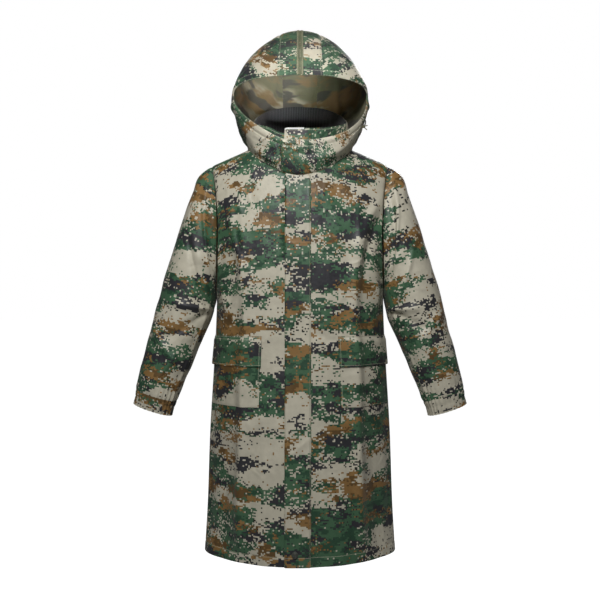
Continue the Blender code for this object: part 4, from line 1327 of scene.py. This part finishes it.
strip_cloth = olive_strip()
strip_rows = [row for row in hood_rows if row > HOOD_STRIP_START]
strip_half = [0, 0.001, 0.0022, 0.0042, 0.0055, 0.0068, 0.0078, HOOD_STRIP_HALF_WIDTH]
sew("hood_strip", "hood_centre_strip", strip_point, mirrored(strip_half, RIGHT)[:-1] + strip_half,
    strip_rows, (strip_cloth, strip_cloth), strip_relief, sense=-1, lift=STRIP_STAND + GAP,
    print_shift=(6.1, 0.0), thickness=STRIP_THICKNESS)

# ---- The collar stand ----
# A low stand inside the hood, sewn in with it at the neck.  Its outer face is the shell cloth and
# its inner face a dark ribbed mesh; a pale tape covers part of its top edge on the wearer's right.
CollarTop = namedtuple("CollarTop", "front_y front_z half_width side_y side_z back_y back_z")
COLLAR_TOP = CollarTop(-0.110, 0.040, 0.122, 0.006, 0.078, 0.117, 0.142)
COLLAR_END_X = -0.045
COLLAR_START = 0.15
COLLAR_END_TURN = -40     # from here round to the stand's end its top drops
COLLAR_END_DROP = 0.013
COLLAR_CORNER_DROP = 0.0065
COLLAR_CORNER_X = -0.030
COLLAR_CORNER = 0.015
COLLAR_INSET = CLOTH + 4 * GAP
COLLAR_CRUMPLE = ((0.035, 0.0022),)
LINING = 0.0009
TAPE_START_X = -0.0445
TAPE_END_X = 0.011
MESH_DARK = (0.024, 0.024, 0.026, 1.0)
MESH_PALE = (0.150, 0.150, 0.158, 1.0)
MESH_WANDER = 0.0012
MESH_WANDER_SCALE = 30.0
MESH_HOLE_SCALE = 620.0
# Across the stand the mesh lining is painted paler near its back's middle and darker towards its
# sides: painted light where the back faces forward and painted shade where the sides turn away.
MESH_PAINTED_LIGHT_X = 0.080
MESH_PAINTED_SHADE_X = 0.098
RIB_PITCH = 0.0048
RIB_HEIGHT = 0.0007
TAPE_WHITE = (0.78, 0.78, 0.76, 1.0)
TAPE_SHADE = (0.62, 0.62, 0.60, 1.0)
TAPE_OUTER_LEG = 0.0026
TAPE_INNER_LEG = 0.0062
TAPE_FOLD = 0.0018
TAPE_THICKNESS = 0.0006
TWILL_SCALE = 240.0
TWILL_HEIGHT = 0.0003


def collar_top_point(turn, side):
    top = COLLAR_TOP
    angle = math.radians(turn)
    climb = abs(math.sin(angle))
    end_y, end_z = (top.back_y, top.back_z) if turn > 0 else (top.front_y, top.front_z)
    return Vector((side * top.half_width * math.cos(angle), blend(top.side_y, end_y, climb),
                   blend(top.side_z, end_z, climb)))


def collar_point(round_turn, up):
    """round_turn is -90 at centre front, 90 at centre back and 270 at the front again."""
    side = LEFT if round_turn <= 90 else RIGHT
    turn = round_turn if round_turn <= 90 else 180 - round_turn
    foot = hood_point(turn, COLLAR_START, side)
    middle = Vector((0, 0, foot.z))
    foot += (middle - foot).normalized() * COLLAR_INSET
    top = collar_top_point(turn, side)
    if turn < COLLAR_END_TURN and side == RIGHT:
        top.z -= COLLAR_END_DROP * power(smooth_step((COLLAR_END_TURN - turn) / 30), 1.5)
    elif turn < -90:
        top.z -= COLLAR_CORNER_DROP * power(max(0.0, (COLLAR_CORNER_X - top.x) / COLLAR_CORNER), 2)
    return foot.lerp(top, up)


def ribbed_mesh():
    """Dark mesh with pale ribs, painted paler where the stand's back faces forward and darker at its
    sides: painted light and shade.
    """
    material, tree, shader = start_material(
        "ribbed mesh lining", Roughness=0.85, Specular_IOR_Level=0.2, Sheen_Weight=0.25)
    place = on_cloth(tree)
    across = add_node(tree, "ShaderNodeSeparateXYZ", {}, {0: place}).outputs[0]
    wander = mottle(tree, place, MESH_WANDER_SCALE, flat=False)
    across = maths(tree, "MULTIPLY_ADD", wander, MESH_WANDER, across)
    rib = maths(tree, "SINE", maths(tree, "MULTIPLY", across, 2 * math.pi / RIB_PITCH))
    holes = add_node(tree, "ShaderNodeTexVoronoi", {},
                     {"Vector": place, "Scale": MESH_HOLE_SCALE, "Randomness": 0.25})
    hole = ramp(tree, holes.outputs["Distance"], 0.18, 0.42)
    # Painted light and shade: the pale ribs are strongest near the middle of the stand's back and
    # fade towards its sides.
    sideways = add_node(tree, "ShaderNodeSeparateXYZ", {}, {0: on_piece(tree)}).outputs[0]
    painted_light_share = ramp(tree, maths(tree, "ABSOLUTE", sideways), MESH_PAINTED_SHADE_X, MESH_PAINTED_LIGHT_X, "SMOOTHSTEP",
                  To_Min=0.25, To_Max=0.8)
    pale = maths(tree, "MULTIPLY", painted_light_share, maths(tree, "MULTIPLY_ADD", rib, 0.40, 0.58))
    coloured(tree, shader, mixed(tree, maths(tree, "MULTIPLY", pale, hole), MESH_DARK, MESH_PALE))
    embossed(tree, shader, maths(tree, "MULTIPLY_ADD", hole, 0.3, rib), 0.6, RIB_HEIGHT)
    return material


def woven_tape(name, colour, shade):
    material, tree, shader = start_material(name, Roughness=0.7)
    twill = ribs(tree, on_cloth(tree), "DIAGONAL", TWILL_SCALE)
    coloured(tree, shader, mixed(tree, twill, colour, shade))
    embossed(tree, shader, twill, 0.5, TWILL_HEIGHT)
    return material


def collar_waver(point, up):
    """The stand is soft: its top edge wavers more than its foot."""
    sway = 0.0022 * math.sin(point.x * 55 + 0.6) + 0.0018 * math.sin(point.y * 48 + 1.9)
    return (sway + crumple(point, COLLAR_CRUMPLE)) * smooth_step(up) * 0.8


def collar_relief(spot):
    lift = collar_waver(spot.point, spot.v)
    return lift + ridge(spot.north, at=0, height=-0.0006, width=0.0018)


COLLAR_COLUMNS = 150
collar_end = 180 - turn_at(-COLLAR_END_X, 0) - 0.4
collar_turns = spread(turn_at(COLLAR_END_X, 0), collar_end, COLLAR_COLUMNS)
collar_rows = refined(spread(0, 1, 14))
mesh_cloth = ribbed_mesh()
COLLAR_SEWN = printed_shell(" collar", north=[TOPSTITCH])
for node, name, slot, cloths, lift, shift in (
    ("collar_stand", "collar_stand_shell", "camouflage_shell", COLLAR_SEWN, 0.0, (7.3, 0.7)),
    ("collar_lining", "collar_mesh_lining", "mesh_lining", (mesh_cloth, mesh_cloth),
     -(LINING + GAP), (0.0, 0.0)),
):
    sew(node, name, collar_point, collar_turns, collar_rows, cloths, collar_relief, slot=slot,
        lift=lift, print_shift=shift, thickness=LINING)

white_tape = woven_tape("pale collar tape", TAPE_WHITE, TAPE_SHADE)
tape_arc = math.pi * TAPE_FOLD
tape_width = TAPE_OUTER_LEG + tape_arc + TAPE_INNER_LEG


def tape_point(round_turn, run):
    """The tape is folded over the stand's top edge, from its outer face to its inner one."""
    top = collar_point(round_turn, 1)
    up = (top - collar_point(round_turn, 0.97)).normalized()
    along = (collar_point(round_turn + 0.5, 1) - collar_point(round_turn - 0.5, 1)).normalized()
    out = along.cross(up)
    middle = top + out * (collar_waver(top, 1) - LINING - GAP / 2)
    if run < TAPE_OUTER_LEG:
        return middle + out * TAPE_FOLD - up * (TAPE_OUTER_LEG - run)
    if run > TAPE_OUTER_LEG + tape_arc:
        return middle - out * TAPE_FOLD - up * (run - TAPE_OUTER_LEG - tape_arc)
    turn = (run - TAPE_OUTER_LEG) / TAPE_FOLD
    return middle + out * TAPE_FOLD * math.cos(turn) + up * TAPE_FOLD * math.sin(turn)


tape_turns = spread(turn_at(TAPE_START_X, 0), turn_at(TAPE_END_X, 0), 30)
sew("collar_tape", "collar_top_tape", tape_point, tape_turns, spread(0, tape_width, 18),
    (white_tape, white_tape), lambda spot: 0.0, slot="light_tape", held="folded",
    thickness=TAPE_THICKNESS)

# ---- The front closure ----
# A zip between the fronts, covered by a folded storm flap that is sewn down along the wearer's left
# and held near the hem by a press snap with a painted metal cap.
FLAP_CLOTH = 0.0024
FLAP_FREE_X = -0.038
FLAP_SEWN_X = 0.0275
FLAP_STAND = 1.5 * GAP
FLAP_FOLDED = 0.0019
FLAP_LOOSE = 0.0020       # how far the free fold stands off the fronts
FLAP_KINK = 0.0022        # one short slanting kink, at pocket height and below
FLAP_KINK_Z = -0.763
FLAP_KINK_SLANT = 0.85
ZIP_HALF_WIDTH = 0.014
ZIP_BOTTOM_Z = -1.000
TOOTH_PITCH = 0.0028
TOOTH_SIZE = (0.0042, 0.0017, 0.0016)
TOOTH_BEVEL = 0.0003
TOOTH_SIDESTEP = 0.0006   # each side's teeth stand this far off the middle
TOOTH_PROUD = 0.0022
ZIP_BARE_FOOT = 0.006
ZIP_BARE_TOP = 0.012
TOOTH_DARK = (0.018, 0.020, 0.015, 1.0)
TOOTH_PALE = (0.050, 0.054, 0.042, 1.0)
ZIP_SINK = 0.0012
ZIP_THICKNESS = 0.0008
ZIP_DARK = (0.030, 0.034, 0.026, 1.0)
ZIP_SHADE = (0.055, 0.060, 0.046, 1.0)
SNAP_X = -0.0123
SNAP_Z = -1.0215
SNAP_PROUD = 0.0030
SNAP_SHARP = 50
ENAMEL = (0.052, 0.056, 0.046, 1.0)
ENAMEL_RUBBED = (0.095, 0.100, 0.085, 1.0)


def front_point(x, level):
    """Front surface at a constant x, up to just under the neck seam."""
    if level <= 1:
        z = blend(HEM_Z, UNDERARM_Z, level)
    else:
        top = neck_line(x, FRONT) - FLAP_NECK_GAP
        z = blend(UNDERARM_Z, top, (1 - math.cos(math.pi * (level - 1))) / 2)
    return Vector((x, body_y(x, z, FRONT) - GAP / 2, z))


def flap_relief(spot):
    """The flap lies on the fronts and ripples down its free fold; its other edge is sewn."""
    x, z = spot.point.x, spot.point.z
    lift = body_relief(FRONT, spot.point) + hem_relief(spot.south)
    ripple = 0.0011 * noise.noise(Vector((3.1, 0, z * 11))) + 0.0007
    lift += (ripple + FLAP_LOOSE) * (1 - rise(spot.west, start=0.006, width=0.030))
    kink = bump_of((z - FLAP_KINK_Z) - FLAP_KINK_SLANT * (x + 0.004), 0.006)
    lift += FLAP_KINK * kink * smooth_step(spot.west / 0.02)
    rolled = ridge(spot.west, at=0, height=0.0032, width=0.0020)
    lift -= rolled + ridge(spot.east, at=0, height=0.0016, width=0.0016)
    lift += ridge(spot.east, at=0.0050, height=0.0009, width=0.0020)
    return lift + ridge(spot.east, at=0.0028, height=-0.0008, width=0.0010)


flap_edges = [0, 0.0008, 0.0018, 0.003, 0.0042, 0.0056]
flap_columns = [FLAP_FREE_X + edge for edge in flap_edges]
flap_columns += spread(FLAP_FREE_X + 0.009, FLAP_SEWN_X - 0.009, 12)
flap_columns += [FLAP_SEWN_X - edge for edge in reversed(flap_edges)]
FLAP_SEWN = printed_shell(" flap", east=[EDGE_STITCH], south=[HEM_STITCH])
sew("storm_flap", "storm_flap_folded", front_point, flap_columns, body_rows, FLAP_SEWN, flap_relief,
    lift=FLAP_CLOTH + FLAP_STAND, print_shift=(8.4, 1.3), thickness=FLAP_FOLDED)

zip_rows = [level for level in body_rows if level > level_of(ZIP_BOTTOM_Z)]
dark_tape = woven_tape("zip tape", ZIP_DARK, ZIP_SHADE)
zip_tape = lay_cloth("zip_tape_pair", front_point, spread(-ZIP_HALF_WIDTH, ZIP_HALF_WIDTH, 10),
                     zip_rows, (dark_tape, dark_tape),
                     lambda spot: body_relief(FRONT, spot.point) - ZIP_SINK,
                     lift=-(CLOTH_THICKNESS + GAP), thickness=ZIP_THICKNESS)


def mottled_paint(name, scale, colour, shade, detail=2.0, **shader_values):
    material, tree, shader = start_material(name, **shader_values)
    cloud = mottle(tree, on_piece(tree), scale, flat=False, Detail=detail)
    coloured(tree, shader, mixed(tree, cloud, colour, shade))
    return material


teeth = bmesh.new()
tooth_z = ZIP_BOTTOM_Z + ZIP_BARE_FOOT
tooth_count = 0
while tooth_z < neck_line(0, FRONT) - ZIP_BARE_TOP:
    at = Vector((0, body_y(0, tooth_z, FRONT) - GAP / 2, tooth_z))
    at.y -= body_relief(FRONT, at) - ZIP_SINK - CLOTH_THICKNESS - GAP - TOOTH_SIZE[2]
    side = LEFT if tooth_count % 2 else RIGHT
    at += Vector((side * TOOTH_SIDESTEP, -TOOTH_PROUD, 0))
    place = Matrix.Translation(at) @ Matrix.Diagonal((*TOOTH_SIZE, 1))
    bmesh.ops.create_cube(teeth, size=1, matrix=place)
    tooth_z += TOOTH_PITCH / 2
    tooth_count += 1
bmesh.ops.bevel(teeth, geom=teeth.edges[:], offset=TOOTH_BEVEL, segments=1, affect="EDGES")
tooth_paint = mottled_paint("zip teeth", 90.0, TOOTH_DARK, TOOTH_PALE, Roughness=0.38)
zip_teeth = made_of("zip_teeth", teeth, tooth_paint)
stands_for(zip_teeth, "zip")
declare(zip_tape, "zip")

# The cap: a shallow dome with a rolled rim, spun from its outline
SNAP_OUTLINE = [(0.0, 0.0030), (0.0022, 0.0029), (0.0042, 0.0025), (0.0056, 0.0020),
                (0.0063, 0.0017), (0.0068, 0.0019), (0.0074, 0.0021), (0.0080, 0.0017),
                (0.0083, 0.0010), (0.0081, 0.0003), (0.0076, 0.0), (0.0, 0.0)]
snap_mesh = bmesh.new()
outline = [snap_mesh.verts.new((radius, 0, height)) for radius, height in SNAP_OUTLINE]
outline_edges = [snap_mesh.edges.new(pair) for pair in zip(outline, outline[1:])]
bmesh.ops.spin(snap_mesh, geom=outline + outline_edges, cent=(0, 0, 0), axis=(0, 0, 1),
               angle=2 * math.pi, steps=48, use_merge=True)
bmesh.ops.remove_doubles(snap_mesh, verts=snap_mesh.verts, dist=1e-6)
bmesh.ops.recalc_face_normals(snap_mesh, faces=snap_mesh.faces)
snap_level = level_of(SNAP_Z)
snap_seat = front_point(SNAP_X, snap_level)
snap_up = front_point(SNAP_X, snap_level + 0.01) - snap_seat
snap_normal = (front_point(SNAP_X + 0.002, snap_level) - snap_seat).cross(snap_up).normalized()
snap_proud = FLAP_CLOTH + FLAP_STAND + body_relief(FRONT, snap_seat) + SNAP_PROUD
snap_turn = snap_normal.to_track_quat("Z", "Y").to_matrix().to_4x4()
bmesh.ops.transform(snap_mesh, verts=snap_mesh.verts,
                    matrix=Matrix.Translation(snap_seat + snap_normal * snap_proud) @ snap_turn)
snap_paint = mottled_paint("painted snap", 480.0, ENAMEL, ENAMEL_RUBBED, detail=3.0,
                           Roughness=0.42, Metallic=0.35)
snap_cap = smoothed(made_of("snap_cap_spun", snap_mesh, snap_paint), SNAP_SHARP)
stands_for(snap_cap, "snap_cap")

# ---- The pockets ----
# Two large patch pockets sewn on the fronts near the sides, each under a double-stitched flap.
POCKET_TOP_Z = -0.504
POCKET_BOTTOM_Z = -0.664
POCKET_FLAP_TOP_Z = -0.486
POCKET_FLAP_BOTTOM_Z = -0.563
POCKET_FLAP_OVERHANG = 0.0028
POCKET_TURN = -49.7
POCKET_OUTER = 0.2245
POCKET_EDGES = [0, 0.0012, 0.0026, 0.0044, 0.0066, 0.009]
POCKET_LIE = CLOTH_THICKNESS + 2 * GAP
POCKET_FULLNESS = 0.0030
POCKET_STEPS = 26
POCKET_FLAP_THICKNESS = 0.0018
FLAP_KICK = 0.0014
FLAP_CURL = 0.0010


def edged(low, high, steps):
    """Steps from low to high, close together at both ends."""
    values = [low + edge for edge in POCKET_EDGES] + spread(low + 0.013, high - 0.013, steps)
    return values + [high - edge for edge in reversed(POCKET_EDGES)]


def pocket_relief(spot):
    edge = min(spot.west, spot.east, spot.south)
    fullness = POCKET_FULLNESS * smooth_step(edge / 0.05) * smooth_step(spot.south / 0.07)
    lift = body_relief(FRONT, spot.point) + fullness * smooth_step(spot.north / 0.10)
    lift += ridge(edge, at=0, height=-0.0008, width=0.0013)
    return lift + ridge(edge, at=EDGE_STITCH, height=-0.0006, width=0.0014)


def pocket_flap_relief(spot):
    over = rise(spot.north, start=0.002, width=0.010)
    free = smooth_step(spot.north / 0.077)
    curl = FLAP_CURL * noise.noise(Vector((spot.point.x * 24, 0.7, spot.point.z * 9))) * free
    lift = body_relief(FRONT, spot.point) + (POCKET_LIE + 0.0008) * over + FLAP_KICK * free + curl
    edge = min(spot.west, spot.east, spot.south)
    lift += ridge(edge, at=0, height=-0.0009, width=0.0013)
    lift += ridge(spot.north, at=0.0022, height=-0.0007, width=0.0012)
    return lift + ridge(spot.north, at=0.0085, height=-0.0007, width=0.0016)


POCKET_SEWN = printed_shell(
    " pocket", west=[EDGE_STITCH], east=[EDGE_STITCH], south=[EDGE_STITCH])
POCKET_FLAP_SEWN = printed_shell(
    " pocket flap", north=[0.0024, 0.0088], south=[TOPSTITCH], west=[TOPSTITCH], east=[TOPSTITCH])
pocket_inner = NECK_HALF_WIDTH * math.cos(math.radians(POCKET_TURN))


def sew_on_front(side, node, name, low, high, steps, overhang, cloths, relief, shift, **laid):
    """A pocket's patch, or its flap, which is wider by an overhang on each side."""
    rows = [level_of(z) for z in edged(low, high, steps)]
    half = edged(pocket_inner - overhang, POCKET_OUTER + overhang, POCKET_STEPS)
    sew(node, name, lambda u, v: body_point(u, v, FRONT), mirrored(half, side), rows, cloths, relief,
        print_shift=(shift[0] * side, shift[1]), **laid)


for side, word in SIDES:
    sew_on_front(side, "pocket_" + word, "pocket_patch_" + word, POCKET_BOTTOM_Z, POCKET_TOP_Z,
                 24, 0.0, POCKET_SEWN, pocket_relief, (9.7, 2.6), held="laid", lift=POCKET_LIE)
    sew_on_front(side, "pocket_flap_" + word, "pocket_flap_sewn_" + word, POCKET_FLAP_BOTTOM_Z,
                 POCKET_FLAP_TOP_Z, 10, POCKET_FLAP_OVERHANG, POCKET_FLAP_SEWN, pocket_flap_relief,
                 (10.9, 3.4), lift=CLOTH_THICKNESS + 4 * GAP, thickness=POCKET_FLAP_THICKNESS)
